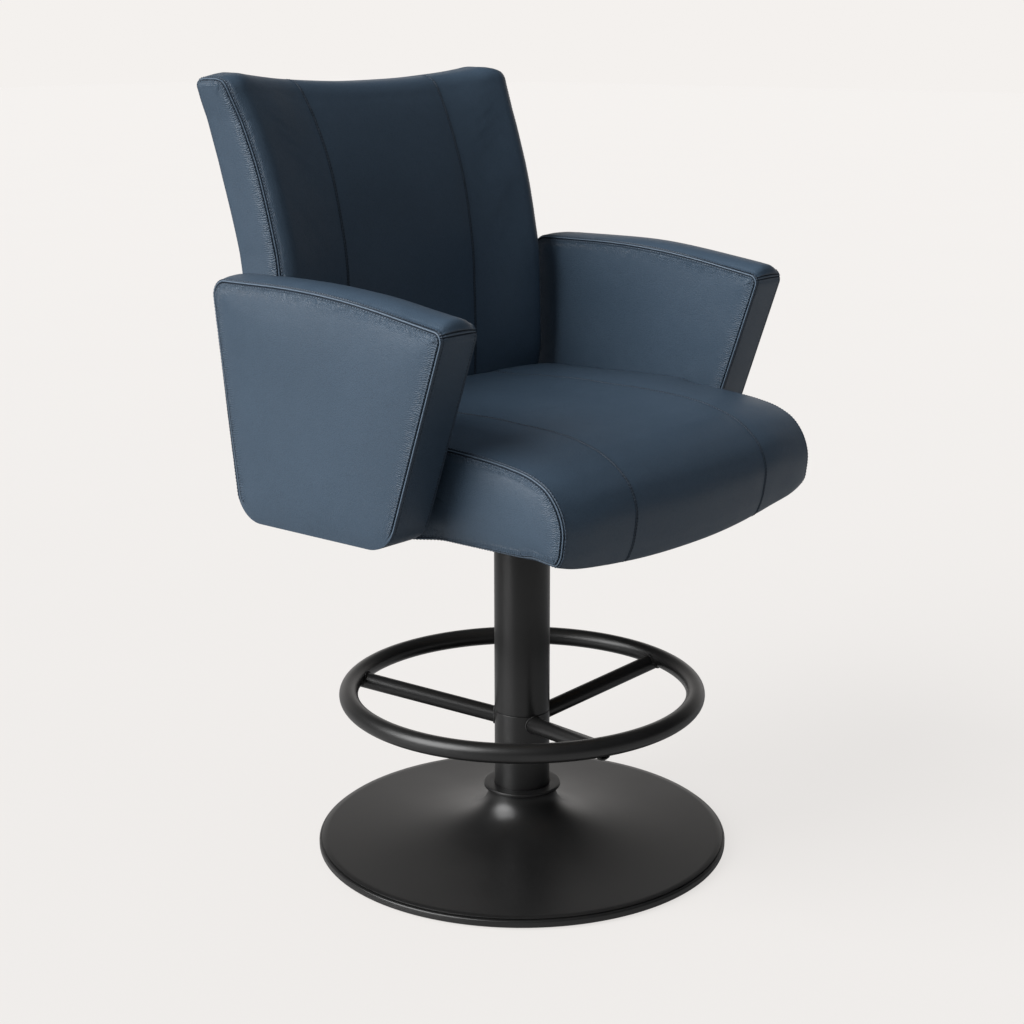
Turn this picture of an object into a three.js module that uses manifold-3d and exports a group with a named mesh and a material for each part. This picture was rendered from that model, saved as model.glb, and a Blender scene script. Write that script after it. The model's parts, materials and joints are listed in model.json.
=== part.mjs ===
// Upholstered gaming stool: a padded seat with back and arms that swivels on a column with a foot ring.
// Millimetres. Z is up, the sitter faces -Y, and the origin is on the swivel axis at the floor.
import * as THREE from "three";
import { mergeVertices } from "three/addons/utils/BufferGeometryUtils.js";
import Module from "manifold-3d";

const wasm = await Module();
wasm.setup();

// Gaps and facet counts
const fitGap = 0.3; // between pieces that seat on each other
const overrun = 3; // how far a cut runs past the face that it opens
const wideSides = 48;
const smallSides = 24;
const holeSides = 10;
const joinDepth = 1; // how far a shank runs up into its head
const cornerSteps = 4;

// Base: a heavy plate on a floor pad, under a spun trumpet cover
const baseDiameter = 558.8;
const padThickness = 2;
const padInset = 7;
const padBoreDiameter = 96;
const plateThickness = 10;
const plateEdgeRadius = 3;
const coverInset = 1.6; // the cover stops this far inside the plate's edge
const coverWall = 2;
const neckTop = 79;
const neckRadius = 45.5;
const collarRadius = 52.5;
const collarThickness = 4.7;
const collarEdge = 1.4;
const flareSteps = 10;
const flareInnerSteps = 6;
const flareRimReachShare = 0.62; // how far the flat of the flare runs in from the rim
const flareNeckReachShare = 0.82; // how far the upright of the neck runs down

// Column: a core tube on the plate, with the foot ring's sleeve and the column tube over it
const columnDiameter = 75;
const columnWall = 3;
const coreWall = 3;
const columnEdge = 0.9;
const sleeveTop = 190;
const columnTop = 448;
const coreFootThickness = 10;

// Anchor bolt that holds the core tube down on the plate
const anchorDiameter = 12;
const anchorHeadWidth = 20;
const anchorHeadHeight = 5;
const anchorWasherThickness = 2.5;
const anchorWasherDiameter = 28;
const anchorNutHeight = 10;
const anchorTail = 5; // thread that stands out of the nut
const boreSlack = 0.4; // radial room round a bolt

// Foot ring
const ringDiameter = 495;
const ringTubeDiameter = 25.4;
const ringHeight = 217;
const ringSteps = 56;
const ringTubeSides = 10;
const spokeDiameter = 22;
const spokeHubHeight = 177;
const spokeRingDrop = 5; // the spokes meet the ring this far under its centre line
const spokeSides = 14;
const rearSpokeAngle = 115; // degrees from +X
const spokeSpread = 130; // degrees from the rear spoke to each of the others

// Swivel: a spindle in two flanged bushes, carried by a thrust ball bearing
const spindleDiameter = 30;
const bushWall = 3;
const bushFlange = 3;
const bushLength = 32;
const bearingTubeWall = 3;
const bearingTubeLength = 154;
const capFlange = 6;
const capSpigot = 28;
const thrustDiameter = 56;
const raceThickness = 2.5;
const ballDiameter = 6;
const ballCount = 10;
const ballFacets = 6;
const cageThickness = 2.4;
const cageEdge = 3; // the cage stops this far inside the races' edge
const hubDiameter = 66;
const hubHeight = 22.6; // from the upper race to the seat plate, so it sets the seat's height
const washerThickness = 3;
const ringThickness = 2.5;
const ringGrooveDepth = 1.5;
const ringWidth = 5;
const ringOpening = 40; // degrees open in the retaining ring
const ringArcSteps = 20;
const spindleTail = 6; // spindle under the retaining ring
const spindleEdge = 1.5;

// Seat frame: steel plate and brackets under a plywood board
const boardThickness = 12;
const plateWidth = 200;
const seatPlateThickness = 5;
const plateCorner = 16;
const plateBoltInset = 20;
const bracketThickness = 4;
const boltDiameter = 8;
const boltHeadWidth = 15;
const boltHeadHeight = 5;
const screwDiameter = 6;
const screwHeadWidth = 13;
const screwHeadHeight = 3.5;

// Seat cushion: one panel from the back over the front, with side gussets
const seatHalfWidth = 264;
const seatSideRise = 112; // from the board's underside to the top of the side seams
const seatFront = 300; // distance of the nose from the axis, at the middle
const seatBow = 23; // the nose falls back by this much at the sides
const seatLipDrop = 28; // the front lip hangs this far under the skirt at the middle
const seatSideLip = 3; // and this far at the sides
const seatNoseDepth = 120;
const seatSeamX = 140;
const seatCrown = 6; // rise of the middle over the sides
const panelCrown = 4; // puff of the middle panels between their seams
const sidePanelCrown = 9; // puff of the seat's side panels
const nosePuffShare = 0.4; // part of that puff on the front
const seamDepth = 3;
const seamHalfWidth = 6;
const gussetPuff = 7; // puff of the seat's upright sides
const gussetEdge = 7; // the puff starts this far inside their seam
const armStart = 95; // the cushion widens to the arms behind this distance in front of the axis
const armBlend = 40;
const boardSideInset = 30;
const boardRearInset = 14;
const boardFrontInset = 66;
const boardCorner = 40;

// Back cushion: wide panel curved about the sitter, with side gussets
const backFrontLow = 190; // front face at the seat, from the axis
const backLift = 7; // above the seat board's underside
const backHeight = 513;
const backLean = 79; // how far the front face falls back to its top
const backSpread = 6; // the back's top stands wider than the seat by this much on each side
const backTaper = 15; // each side comes in by this much towards the seat
const backSeamX = 127;
const backThickness = 47;
const backRearLean = 68;
const backWing = 17; // the sides come forward of the middle by this much
const backEarRise = 13.5; // the top corners stand above the middle
const backEarX = 212;
const backEarDrop = 13; // the top falls off again at the very corner
const backEarShoulder = 24; // over this width
const backCrown = 5;
const backPuff = 2.5;
const archRise = 14;
const backBoardHalfWidth = 215;
const backBoardThickness = 10;
const backBoardCover = 10; // foam over the board's front
const backBoardBendShare = 0.46;
const backBoardTopShare = 0.86;
const backBoardLeanShare = 0.42;

// Back brackets: flat bars from under the seat board up behind the back board
const backBarWidth = 40;
const backBarThickness = 5;
const backBarGap = 14; // clear of the arm brackets
const backPlateGap = 10; // clear of the seat plate
const backBarRise = 190; // above the seat board's underside
const backBarFront = 78; // where the foot of the bar starts, behind the axis
const backFootBolts = [24, 62]; // from the front of the bar's foot
const backRiseBolts = [70, 150]; // above the seat board's underside

// Arms: wedge shaped pads, a mirrored pair
const armSideGap = 24; // from the seat's side seam to the arm's inner face
const armThickness = 60;
const armRise = 295; // above the seat board's underside
const armRearTop = 199.5; // rear edge of the outer face
const armRearBottom = 159;
const armRearInner = 214; // the inner face runs straight down behind it, beside the back
const armFrontTop = 175;
const armFrontBottom = 86;
const armFrontDrop = 31.5; // the top falls by this much to its front corner
const armPeak = 8; // where the top starts to fall, behind the axis
const armTopBend = 1200;
const armCornerRear = 20;
const armCornerFront = 11;
const armHeelRadius = 38;
const armToeRadius = 28;
const armCrownRear = 3; // puff of the top between its seams, at its rear end
const armCrownFront = 13; // and at its front end
const armRearPuff = 4;
const armFrontPuff = 0.5;
const armFacePuff = 4;
const armInnerPuff = 2.5;
const armSeamDepth = 1.5;
const armSeamInset = 3;
const armBoardThickness = 12;
const armBoardInset = 26;
const armBoardTopInset = 50;
const armRunSteps = 4; // points along each straight of the outline
const armBoardFoot = 70; // half length of the board's foot
const armFootMiddle = 40;
const armBracketWidth = 104;
const armSeatScrewShare = 11 / 35; // of the bracket's reach under the board, in from the board's edge
const armBracketHoleInset = 22;
const armScrewLength = 24;

// Sizes that follow from those above
const baseRadius = baseDiameter / 2;
const plateBottom = padThickness + fitGap;
const plateTop = plateBottom + plateThickness;
const coverBottom = plateTop + fitGap;
const columnRadius = columnDiameter / 2;
const coreRadius = columnRadius - columnWall - fitGap;
const coreBore = coreRadius - coreWall;
const coreBottom = plateTop + fitGap;
const ringRadius = (ringDiameter - ringTubeDiameter) / 2;
const ringTubeRadius = ringTubeDiameter / 2;
const spindleRadius = spindleDiameter / 2;
const bushBore = spindleRadius + fitGap;
const bushRadius = bushBore + bushWall;
const bearingBore = bushRadius + fitGap;
const bearingRadius = bearingBore + bearingTubeWall;
const capBottom = columnTop + fitGap;
const capTop = capBottom + capFlange;
const bearingBottom = capTop - bearingTubeLength;
const thrustRadius = thrustDiameter / 2;
const upperFlangeTop = capTop + fitGap + bushFlange;
const lowerRaceTop = upperFlangeTop + fitGap + raceThickness;
const ballMiddle = lowerRaceTop + fitGap + ballDiameter / 2;
const upperRaceBottom = ballMiddle + ballDiameter / 2 + fitGap;
const hubBottom = upperRaceBottom + raceThickness + fitGap;
const hubTop = hubBottom + hubHeight;
const seatPlateBottom = hubTop + fitGap;
const seatPlateTop = seatPlateBottom + seatPlateThickness;
const seatUnder = seatPlateTop + fitGap; // underside of the board and of the cushion's skirt
const spindleTop = seatPlateTop;
const spindleWasherTop = bearingBottom - bushFlange - 2 * fitGap;
const retainingTop = spindleWasherTop - washerThickness - fitGap;
const spindleBottom = retainingTop - ringThickness - spindleTail;
const boardTop = seatUnder + boardThickness;
const seatSideTop = seatUnder + seatSideRise;
const seatRear = backFrontLow - panelCrown - 2 * fitGap;
const backHalfWidth = seatHalfWidth + backSpread;
const armInner = seatHalfWidth + armSideGap;
const armMiddle = armInner + armThickness / 2;
const seatWing = armInner - armInnerPuff - fitGap;
const backUnder = seatUnder + backLift;
const backTop = backUnder + backHeight;
const boardHalfWidth = seatHalfWidth - boardSideInset;
const backBarX = plateWidth / 2 + backPlateGap + backBarWidth / 2;
const armBracketFrom = backBarX + backBarWidth / 2 + backBarGap;
const armSeatScrewX = boardHalfWidth - (boardHalfWidth - armBracketFrom) * armSeatScrewShare;
const armTop = seatUnder + armRise;

// Materials
const leather = { color: 0x2b3d52, roughness: 0.5, metalness: 0 };
const blackSteel = { color: 0x1c1c1d, roughness: 0.45, metalness: 0.6 };
const bareSteel = { color: 0x8d9094, roughness: 0.35, metalness: 1 };
const plywood = { color: 0xb08d62, roughness: 0.8, metalness: 0 };
const darkRubber = { color: 0x1a1a1a, roughness: 0.9, metalness: 0 };
const palePlastic = { color: 0xd8d3c4, roughness: 0.5, metalness: 0 };

const stool = new THREE.Group();

function place(name, geometry, finish) {
  const mesh = new THREE.Mesh(geometry, new THREE.MeshStandardMaterial(finish));
  mesh.name = name;
  stool.add(mesh);
}

function signedVolume(geometry) {
  const corners = geometry.getAttribute("position");
  const index = geometry.index.array;
  const a = new THREE.Vector3();
  const b = new THREE.Vector3();
  const c = new THREE.Vector3();
  let volume = 0;
  for (let i = 0; i < index.length; i += 3) {
    a.fromBufferAttribute(corners, index[i]);
    b.fromBufferAttribute(corners, index[i + 1]);
    c.fromBufferAttribute(corners, index[i + 2]);
    volume += a.dot(b.cross(c)) / 6;
  }
  return volume;
}

// The same surface with shared corners and its faces turned outwards.
function closed(geometry) {
  const bare = geometry.clone();
  bare.deleteAttribute("normal");
  bare.deleteAttribute("uv");
  const merged = mergeVertices(bare, fitGap / 100);
  const from = merged.index.array;
  const faces = [];
  for (let i = 0; i < from.length; i += 3) {
    const [a, b, c] = [from[i], from[i + 1], from[i + 2]];
    if (a !== b && b !== c && c !== a) faces.push(a, b, c);
  }
  merged.setIndex(faces);
  if (signedVolume(merged) < 0) merged.setIndex(faces.reverse());
  return merged;
}

function toSolid(geometry) {
  const merged = closed(geometry);
  const mesh = new wasm.Mesh({
    numProp: 3,
    vertProperties: new Float32Array(merged.getAttribute("position").array),
    triVerts: new Uint32Array(merged.index.array),
  });
  return new wasm.Manifold(mesh);
}

function toGeometry(solid) {
  const mesh = solid.getMesh();
  const geometry = new THREE.BufferGeometry();
  geometry.setAttribute("position", new THREE.BufferAttribute(mesh.vertProperties, 3));
  geometry.setIndex(new THREE.BufferAttribute(mesh.triVerts, 1));
  return geometry;
}

function cut(geometry, tools) {
  const carve = (solid, tool) => solid.subtract(toSolid(tool));
  return toGeometry(tools.reduce(carve, toSolid(geometry)));
}

function join(pieces) {
  const add = (solid, piece) => solid.add(toSolid(piece));
  return toGeometry(pieces.slice(1).reduce(add, toSolid(pieces[0])));
}

// A profile of [radius, height] points turned about the Z axis.
function turned(profile, sides) {
  const points = profile.map(([radius, height]) => new THREE.Vector2(radius, height));
  const geometry = new THREE.LatheGeometry(points, sides);
  geometry.rotateX(Math.PI / 2);
  return closed(geometry);
}

// A ring or tube, its outer corners bevelled by the given edge.
function washer(outer, inner, bottom, top, edge, sides) {
  const lower = edge ? [[outer - edge, bottom], [outer, bottom + edge]] : [[outer, bottom]];
  const upper = edge ? [[outer, top - edge], [outer - edge, top]] : [[outer, top]];
  return turned([[inner, bottom], ...lower, ...upper, [inner, top], [inner, bottom]], sides);
}

function rod(radius, length, sides) {
  const geometry = new THREE.CylinderGeometry(radius, radius, length, sides);
  geometry.rotateX(Math.PI / 2);
  geometry.translate(0, 0, length / 2);
  return geometry;
}

// A flat outline in X and Y, raised from one height to another.
function raised(shape, bottom, top) {
  const options = { depth: top - bottom, bevelEnabled: false, curveSegments: cornerSteps };
  const geometry = new THREE.ExtrudeGeometry(shape, options);
  geometry.translate(0, 0, bottom);
  return geometry;
}

// An outline in Y and Z, run across the stool from one X to another.
function acrossX(shape, from, to) {
  const geometry = raised(shape, from, to);
  const turn = new THREE.Matrix4();
  turn.makeBasis(new THREE.Vector3(0, 1, 0), new THREE.Vector3(0, 0, 1), new THREE.Vector3(1, 0, 0));
  return geometry.applyMatrix4(turn);
}

// Corners given as [x, y, radius], each rounded by an arc that is tangent to both sides.
function roundedPoints(corners) {
  const points = [];
  corners.forEach(([x, y, radius], i) => {
    const [px, py] = corners.at(i - 1);
    const [nx, ny] = corners[(i + 1) % corners.length];
    const here = new THREE.Vector2(x, y);
    const back = new THREE.Vector2(px, py).sub(here).normalize();
    const ahead = new THREE.Vector2(nx, ny).sub(here).normalize();
    const half = back.angleTo(ahead) / 2;
    const middle = back.clone().add(ahead).normalize().multiplyScalar(radius / Math.sin(half)).add(here);
    const run = radius / Math.tan(half);
    const start = back.clone().multiplyScalar(run).add(here).sub(middle);
    const turnSign = Math.sign(back.cross(ahead));
    for (let step = 0; step <= cornerSteps; step++) {
      const angle = turnSign * (step / cornerSteps) * (Math.PI - 2 * half) * -1;
      points.push(start.clone().rotateAround(new THREE.Vector2(), angle).add(middle));
    }
  });
  return points;
}

function roundedBox(halfX, halfY, corner) {
  const corners = [
    [halfX, -halfY, corner],
    [halfX, halfY, corner],
    [-halfX, halfY, corner],
    [-halfX, -halfY, corner],
  ];
  return new THREE.Shape(roundedPoints(corners));
}

function drill(shape, x, y, radius) {
  const ring = [];
  for (let i = 0; i < holeSides; i++) {
    const angle = (i / holeSides) * 2 * Math.PI;
    ring.push(new THREE.Vector2(x + radius * Math.cos(angle), y + radius * Math.sin(angle)));
  }
  shape.holes.push(new THREE.Path(ring));
}

// Padded bodies are skinned over closed sections with equal point counts, and closed by a fan at each end.
function skinned(startPoint, sections, endPoint) {
  const count = sections[0].length;
  const corners = [startPoint, ...sections.flat(), endPoint];
  const last = corners.length - 1;
  const at = (section, point) => 1 + section * count + (point % count);
  const faces = [];
  for (let i = 0; i < count; i++) {
    faces.push(0, at(0, i + 1), at(0, i));
    for (let s = 0; s + 1 < sections.length; s++) {
      faces.push(at(s, i), at(s, i + 1), at(s + 1, i));
      faces.push(at(s, i + 1), at(s + 1, i + 1), at(s + 1, i));
    }
    faces.push(last, at(sections.length - 1, i), at(sections.length - 1, i + 1));
  }
  const geometry = new THREE.BufferGeometry().setFromPoints(corners);
  geometry.setIndex(faces);
  return closed(geometry);
}

// Outward unit normals of a closed outline of [y, z] points that runs counter-clockwise seen from +X.
function outlineNormals(outline) {
  return outline.map((point, i) => {
    const [py, pz] = outline.at(i - 1);
    const [ny, nz] = outline[(i + 1) % outline.length];
    const run = new THREE.Vector2(ny - py, nz - pz).normalize();
    return [run.y, -run.x];
  });
}

function grown(outline, amountAt) {
  const normals = outlineNormals(outline);
  return outline.map(([y, z], i) => {
    const amount = amountAt(normals[i], i);
    return [y + normals[i][0] * amount, z + normals[i][1] * amount];
  });
}

function middleOf(outline) {
  const sum = outline.reduce(([sy, sz], [y, z]) => [sy + y, sz + z], [0, 0]);
  return [sum[0] / outline.length, sum[1] / outline.length];
}

function shrunk(outline, share) {
  const [my, mz] = middleOf(outline);
  return outline.map(([y, z]) => [my + (y - my) * share, mz + (z - mz) * share]);
}

const smooth = (value) => THREE.MathUtils.smoothstep(value, 0, 1);

// Reads a table of [place share, value share] pairs by straight lines.
function readShares(table, share) {
  const next = table.findIndex(([place]) => place >= share);
  if (next < 0) return table.at(-1)[1];
  if (next === 0) return table[0][1];
  const [a, va] = table[next - 1];
  const [b, vb] = table[next];
  return va + ((vb - va) * (share - a)) / (b - a);
}

function buildBase() {
  const padRadius = baseRadius - padInset;
  place("floor_pad", washer(padRadius, padBoreDiameter / 2, 0, padThickness, 0, wideSides), darkRubber);

  const holeRadius = anchorDiameter / 2 + boreSlack;
  const recessRadius = anchorHeadWidth / 2 + overrun;
  const recessTop = plateBottom + anchorHeadHeight + 2 * fitGap;
  const plateProfile = [
    [holeRadius, recessTop],
    [recessRadius, recessTop],
    [recessRadius, plateBottom],
    [baseRadius - plateEdgeRadius, plateBottom],
    [baseRadius, plateBottom + plateEdgeRadius],
    [baseRadius, plateTop - plateEdgeRadius],
    [baseRadius - 0.3 * plateEdgeRadius, plateTop - 0.3 * plateEdgeRadius],
    [baseRadius - plateEdgeRadius, plateTop],
    [holeRadius, plateTop],
    [holeRadius, recessTop],
  ];
  place("base_plate", turned(plateProfile, wideSides), blackSteel);

  const rimRadius = baseRadius - plateEdgeRadius - coverInset;
  const rimTop = coverBottom + coverWall;
  const reach = rimRadius - neckRadius;
  const rise = neckTop - rimTop;
  const flare = new THREE.CubicBezierCurve(
    new THREE.Vector2(rimRadius, rimTop),
    new THREE.Vector2(rimRadius - flareRimReachShare * reach, rimTop + 0.08 * rise),
    new THREE.Vector2(neckRadius, neckTop - flareNeckReachShare * rise),
    new THREE.Vector2(neckRadius, neckTop),
  );
  const outside = flare.getPoints(flareSteps);
  const inside = Array.from({ length: flareInnerSteps + 1 }, (_, i) => {
    const along = flare.getTangent(i / flareInnerSteps);
    const point = flare.getPoint(i / flareInnerSteps);
    return [point.x - coverWall * along.y, point.y + coverWall * along.x];
  });
  const rim = [[rimRadius + 0.3 * coverWall, coverBottom]];
  const coverProfile = [...rim, ...outside.map((p) => [p.x, p.y]), ...inside.reverse(), ...rim];
  place("base_cover", turned(coverProfile, wideSides), blackSteel);

  const collarBottom = neckTop + fitGap;
  const collarBore = columnRadius + fitGap;
  const collarTop = collarBottom + collarThickness;
  const collar = washer(collarRadius, collarBore, collarBottom, collarTop, collarEdge, wideSides);
  place("base_collar", collar, blackSteel);
}

function buildColumn() {
  const foot = coreBottom + coreFootThickness;
  const hole = anchorDiameter / 2 + boreSlack;
  const coreTop = columnTop - columnWall;
  const coreProfile = [
    [hole, coreBottom],
    [coreRadius, coreBottom],
    [coreRadius, coreTop],
    [coreBore, coreTop],
    [coreBore, foot],
    [hole, foot],
    [hole, coreBottom],
  ];
  place("core_tube", turned(coreProfile, wideSides), bareSteel);

  const sleeveBore = columnRadius - columnWall;
  const sleeve = washer(columnRadius, sleeveBore, coreBottom, sleeveTop, columnEdge, wideSides);
  place("footring_sleeve", sleeve, blackSteel);
  const tube = washer(columnRadius, sleeveBore, sleeveTop + fitGap, columnTop, columnEdge, wideSides);
  place("column_tube", tube, blackSteel);

  const washerTop = foot + fitGap + anchorWasherThickness;
  const washerPlace = [foot + fitGap, washerTop];
  const plain = washer(anchorWasherDiameter / 2, hole, ...washerPlace, 0, smallSides);
  place("anchor_washer", plain, bareSteel);
  const nutBottom = washerTop + fitGap;
  const nutWidth = anchorHeadWidth / 2 / Math.cos(Math.PI / 6);
  const nut = cut(rod(nutWidth, anchorNutHeight, 6), [
    rod(hole, anchorNutHeight + 2 * overrun, smallSides).translate(0, 0, -overrun),
  ]);
  place("anchor_nut", nut.translate(0, 0, nutBottom), bareSteel);
  const headTop = plateBottom + anchorHeadHeight + fitGap;
  const head = rod(nutWidth, anchorHeadHeight, 6).translate(0, 0, headTop - anchorHeadHeight);
  const shankLength = nutBottom + anchorNutHeight + anchorTail - headTop + joinDepth;
  const shank = rod(anchorDiameter / 2, shankLength, smallSides).translate(0, 0, headTop - joinDepth);
  place("anchor_bolt", join([head, shank]), bareSteel);
}

function ringTorus(extra) {
  const tube = ringTubeRadius + extra;
  const torus = new THREE.TorusGeometry(ringRadius, tube, ringTubeSides, ringSteps);
  return torus.translate(0, 0, ringHeight);
}

function buildFootRing() {
  place("footring_hoop", closed(ringTorus(0)), blackSteel);
  const hubPoint = new THREE.Vector3(columnRadius - columnWall, 0, spokeHubHeight);
  const ringPoint = new THREE.Vector3(ringRadius, 0, ringHeight - spokeRingDrop);
  const run = ringPoint.clone().sub(hubPoint);
  const lean = new THREE.Quaternion().setFromUnitVectors(
    new THREE.Vector3(0, 0, 1),
    run.clone().normalize(),
  );
  const sleeveCut = rod(columnRadius + fitGap, columnTop, wideSides);
  const turns = [rearSpokeAngle, rearSpokeAngle + spokeSpread, rearSpokeAngle - spokeSpread];
  turns.forEach((angle, i) => {
    const spoke = rod(spokeDiameter / 2, run.length(), spokeSides);
    spoke.applyQuaternion(lean).translate(hubPoint.x, hubPoint.y, hubPoint.z);
    spoke.rotateZ(THREE.MathUtils.degToRad(angle));
    place("footring_spoke_" + (i + 1), cut(spoke, [sleeveCut, ringTorus(fitGap)]), blackSteel);
  });
}

function retainingRing() {
  const inner = spindleRadius - ringGrooveDepth + fitGap;
  const outer = inner + ringWidth;
  const half = THREE.MathUtils.degToRad(ringOpening / 2);
  const outline = [];
  const arc = (radius, from, to) => {
    for (let i = 0; i <= ringArcSteps; i++) {
      const angle = from + ((to - from) * i) / ringArcSteps;
      outline.push(new THREE.Vector2(radius * Math.cos(angle), radius * Math.sin(angle)));
    }
  };
  arc(outer, half, 2 * Math.PI - half);
  arc(inner, 2 * Math.PI - half, half);
  return raised(new THREE.Shape(outline), retainingTop - ringThickness, retainingTop);
}

function buildSwivel() {
  const spigotRadius = coreBore - fitGap;
  const capBore = bearingRadius + fitGap;
  const capProfile = [
    [capBore, capBottom - capSpigot],
    [spigotRadius, capBottom - capSpigot],
    [spigotRadius, capBottom],
    [columnRadius, capBottom],
    [columnRadius, capTop - columnEdge],
    [columnRadius - columnEdge, capTop],
    [capBore, capTop],
    [capBore, capBottom - capSpigot],
  ];
  place("column_cap", turned(capProfile, wideSides), blackSteel);
  const housing = washer(bearingRadius, bearingBore, bearingBottom, capTop, 0, smallSides);
  place("bearing_tube", housing, bareSteel);

  const flangeRadius = bearingRadius + bushFlange;
  const upperProfile = [
    [bushBore, capTop - bushLength],
    [bushRadius, capTop - bushLength],
    [bushRadius, capTop + fitGap],
    [flangeRadius, capTop + fitGap],
    [flangeRadius, upperFlangeTop],
    [bushBore, upperFlangeTop],
    [bushBore, capTop - bushLength],
  ];
  place("upper_bush", turned(upperProfile, smallSides), palePlastic);
  const lowerFlangeTop = bearingBottom - fitGap;
  const lowerProfile = [
    [bushBore, lowerFlangeTop - bushFlange],
    [flangeRadius, lowerFlangeTop - bushFlange],
    [flangeRadius, lowerFlangeTop],
    [bushRadius, lowerFlangeTop],
    [bushRadius, bearingBottom + bushLength],
    [bushBore, bearingBottom + bushLength],
    [bushBore, lowerFlangeTop - bushFlange],
  ];
  place("lower_bush", turned(lowerProfile, smallSides), palePlastic);

  const race = (bottom) => washer(thrustRadius, bushBore, bottom, bottom + raceThickness, 0, smallSides);
  place("lower_race", race(lowerRaceTop - raceThickness), bareSteel);
  place("upper_race", race(upperRaceBottom), bareSteel);

  const cageOuter = thrustRadius - cageEdge;
  const cageInner = spindleRadius + cageEdge;
  const cageBottom = ballMiddle - cageThickness / 2;
  const ballCircle = (cageOuter + cageInner) / 2;
  const cage = washer(cageOuter, cageInner, cageBottom, cageBottom + cageThickness, 0, smallSides);
  const balls = Array.from({ length: ballCount }, (_, i) => {
    const angle = (i / ballCount) * 2 * Math.PI;
    const ball = new THREE.SphereGeometry(ballDiameter / 2, ballFacets, ballFacets - 2);
    ball.rotateX(Math.PI / 2);
    return ball.translate(ballCircle * Math.cos(angle), ballCircle * Math.sin(angle), ballMiddle);
  });
  place("bearing_cage", join([cage, ...balls]), bareSteel);

  const grooveRadius = spindleRadius - ringGrooveDepth;
  const grooveTop = retainingTop + fitGap / 2;
  const grooveBottom = retainingTop - ringThickness - fitGap / 2;
  const hubRadius = hubDiameter / 2;
  const spindleProfile = [
    [0, spindleBottom],
    [spindleRadius - spindleEdge, spindleBottom],
    [spindleRadius, spindleBottom + spindleEdge],
    [spindleRadius, grooveBottom],
    [grooveRadius, grooveBottom],
    [grooveRadius, grooveTop],
    [spindleRadius, grooveTop],
    [spindleRadius, hubBottom],
    [hubRadius - spindleEdge, hubBottom],
    [hubRadius, hubBottom + spindleEdge],
    [hubRadius, hubTop],
    [spindleRadius, hubTop],
    [spindleRadius, spindleTop],
    [0, spindleTop],
  ];
  place("spindle", turned(spindleProfile, smallSides), bareSteel);
  const spindleWasher = washer(
    bearingRadius,
    bushBore,
    spindleWasherTop - washerThickness,
    spindleWasherTop,
    0,
    smallSides,
  );
  place("spindle_washer", spindleWasher, bareSteel);
  place("retaining_ring", retainingRing(), bareSteel);
}

// A bolt that is driven upwards, with the top of its head at the given height.
function boltUp(width, headHeight, diameter, length, x, y, headTop) {
  const head = rod(width / 2 / Math.cos(Math.PI / 6), headHeight, 6).translate(0, 0, -headHeight);
  const shank = rod(diameter / 2, length + joinDepth, holeSides).translate(0, 0, -joinDepth);
  return join([head, shank]).translate(x, y, headTop);
}

const plateBoltPlaces = [];
for (const x of [-1, 1]) {
  for (const y of [-1, 1]) {
    const reach = plateWidth / 2 - plateBoltInset;
    plateBoltPlaces.push([x * reach, y * reach]);
  }
}

const armSeatScrews = [];
const armPadScrews = [];
for (const side of [-1, 1]) {
  for (const end of [-1, 1]) {
    const y = armFootMiddle + end * (armBracketWidth / 2 - armBracketHoleInset);
    armSeatScrews.push([side * armSeatScrewX, y]);
    armPadScrews.push([side * armMiddle, y]);
  }
}

const backFootPlaces = [];
for (const side of [-1, 1]) {
  for (const reach of backFootBolts) backFootPlaces.push([side * backBarX, backBarFront + reach]);
}

function buildSeatFrame() {
  const boltHole = boltDiameter / 2 + boreSlack;
  const screwHole = screwDiameter / 2 + boreSlack;
  const plate = roundedBox(plateWidth / 2, plateWidth / 2, plateCorner);
  plateBoltPlaces.forEach(([x, y]) => drill(plate, x, y, boltHole));
  const plateSolid = cut(raised(plate, seatPlateBottom, seatPlateTop), [
    rod(spindleRadius + fitGap, seatPlateThickness + 2 * overrun, smallSides)
      .translate(0, 0, seatPlateBottom - overrun),
  ]);
  place("seat_plate", plateSolid, blackSteel);

  const board = new THREE.Shape(roundedPoints(boardCorners(0)));
  plateBoltPlaces.forEach(([x, y]) => drill(board, x, y, boltHole));
  armSeatScrews.forEach(([x, y]) => drill(board, x, y, screwHole));
  backFootPlaces.forEach(([x, y]) => drill(board, x, y, screwHole));
  place("seat_board", raised(board, seatUnder, boardTop), plywood);

  const boltLength = boardTop - seatPlateBottom - fitGap;
  plateBoltPlaces.forEach(([x, y], i) => {
    const headTop = seatPlateBottom - fitGap;
    const bolt = boltUp(boltHeadWidth, boltHeadHeight, boltDiameter, boltLength, x, y, headTop);
    place("plate_bolt_" + (i + 1), bolt, bareSteel);
  });
}

// The seat board follows the cushion's plan, inset all round.
function boardCorners(extra) {
  const half = boardHalfWidth + extra;
  const rear = seatRear - boardRearInset + extra;
  const front = boardFrontInset - seatFront - extra;
  return [
    [half, front + seatBow, boardCorner],
    [half, rear, boardCorner],
    [-half, rear, boardCorner],
    [-half, front + seatBow, boardCorner],
    [0, front, seatFront],
  ];
}

// Seat section: shares of the nose's depth and height, from the top edge over the nose to the lip
const noseShares = [
  [1, 0.975],
  [0.66, 0.935],
  [0.39, 0.872],
  [0.2, 0.77],
  [0.06, 0.59],
  [0, 0.4],
  [0.015, 0.22],
  [0.06, 0.08],
  [0.16, 0],
  [0.36, 0.01],
];
// Seat section: shares of the run from the axis to the rear, and of the fall from the side's top to the lip
const seatTopShares = [
  [1, 0.12],
  [0.98, 0.07],
  [0.93, 0.045],
  [0.7, 0.028],
  [0.35, 0.005],
  [-0.1, -0.01],
  [-0.5, -0.005],
];

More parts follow.
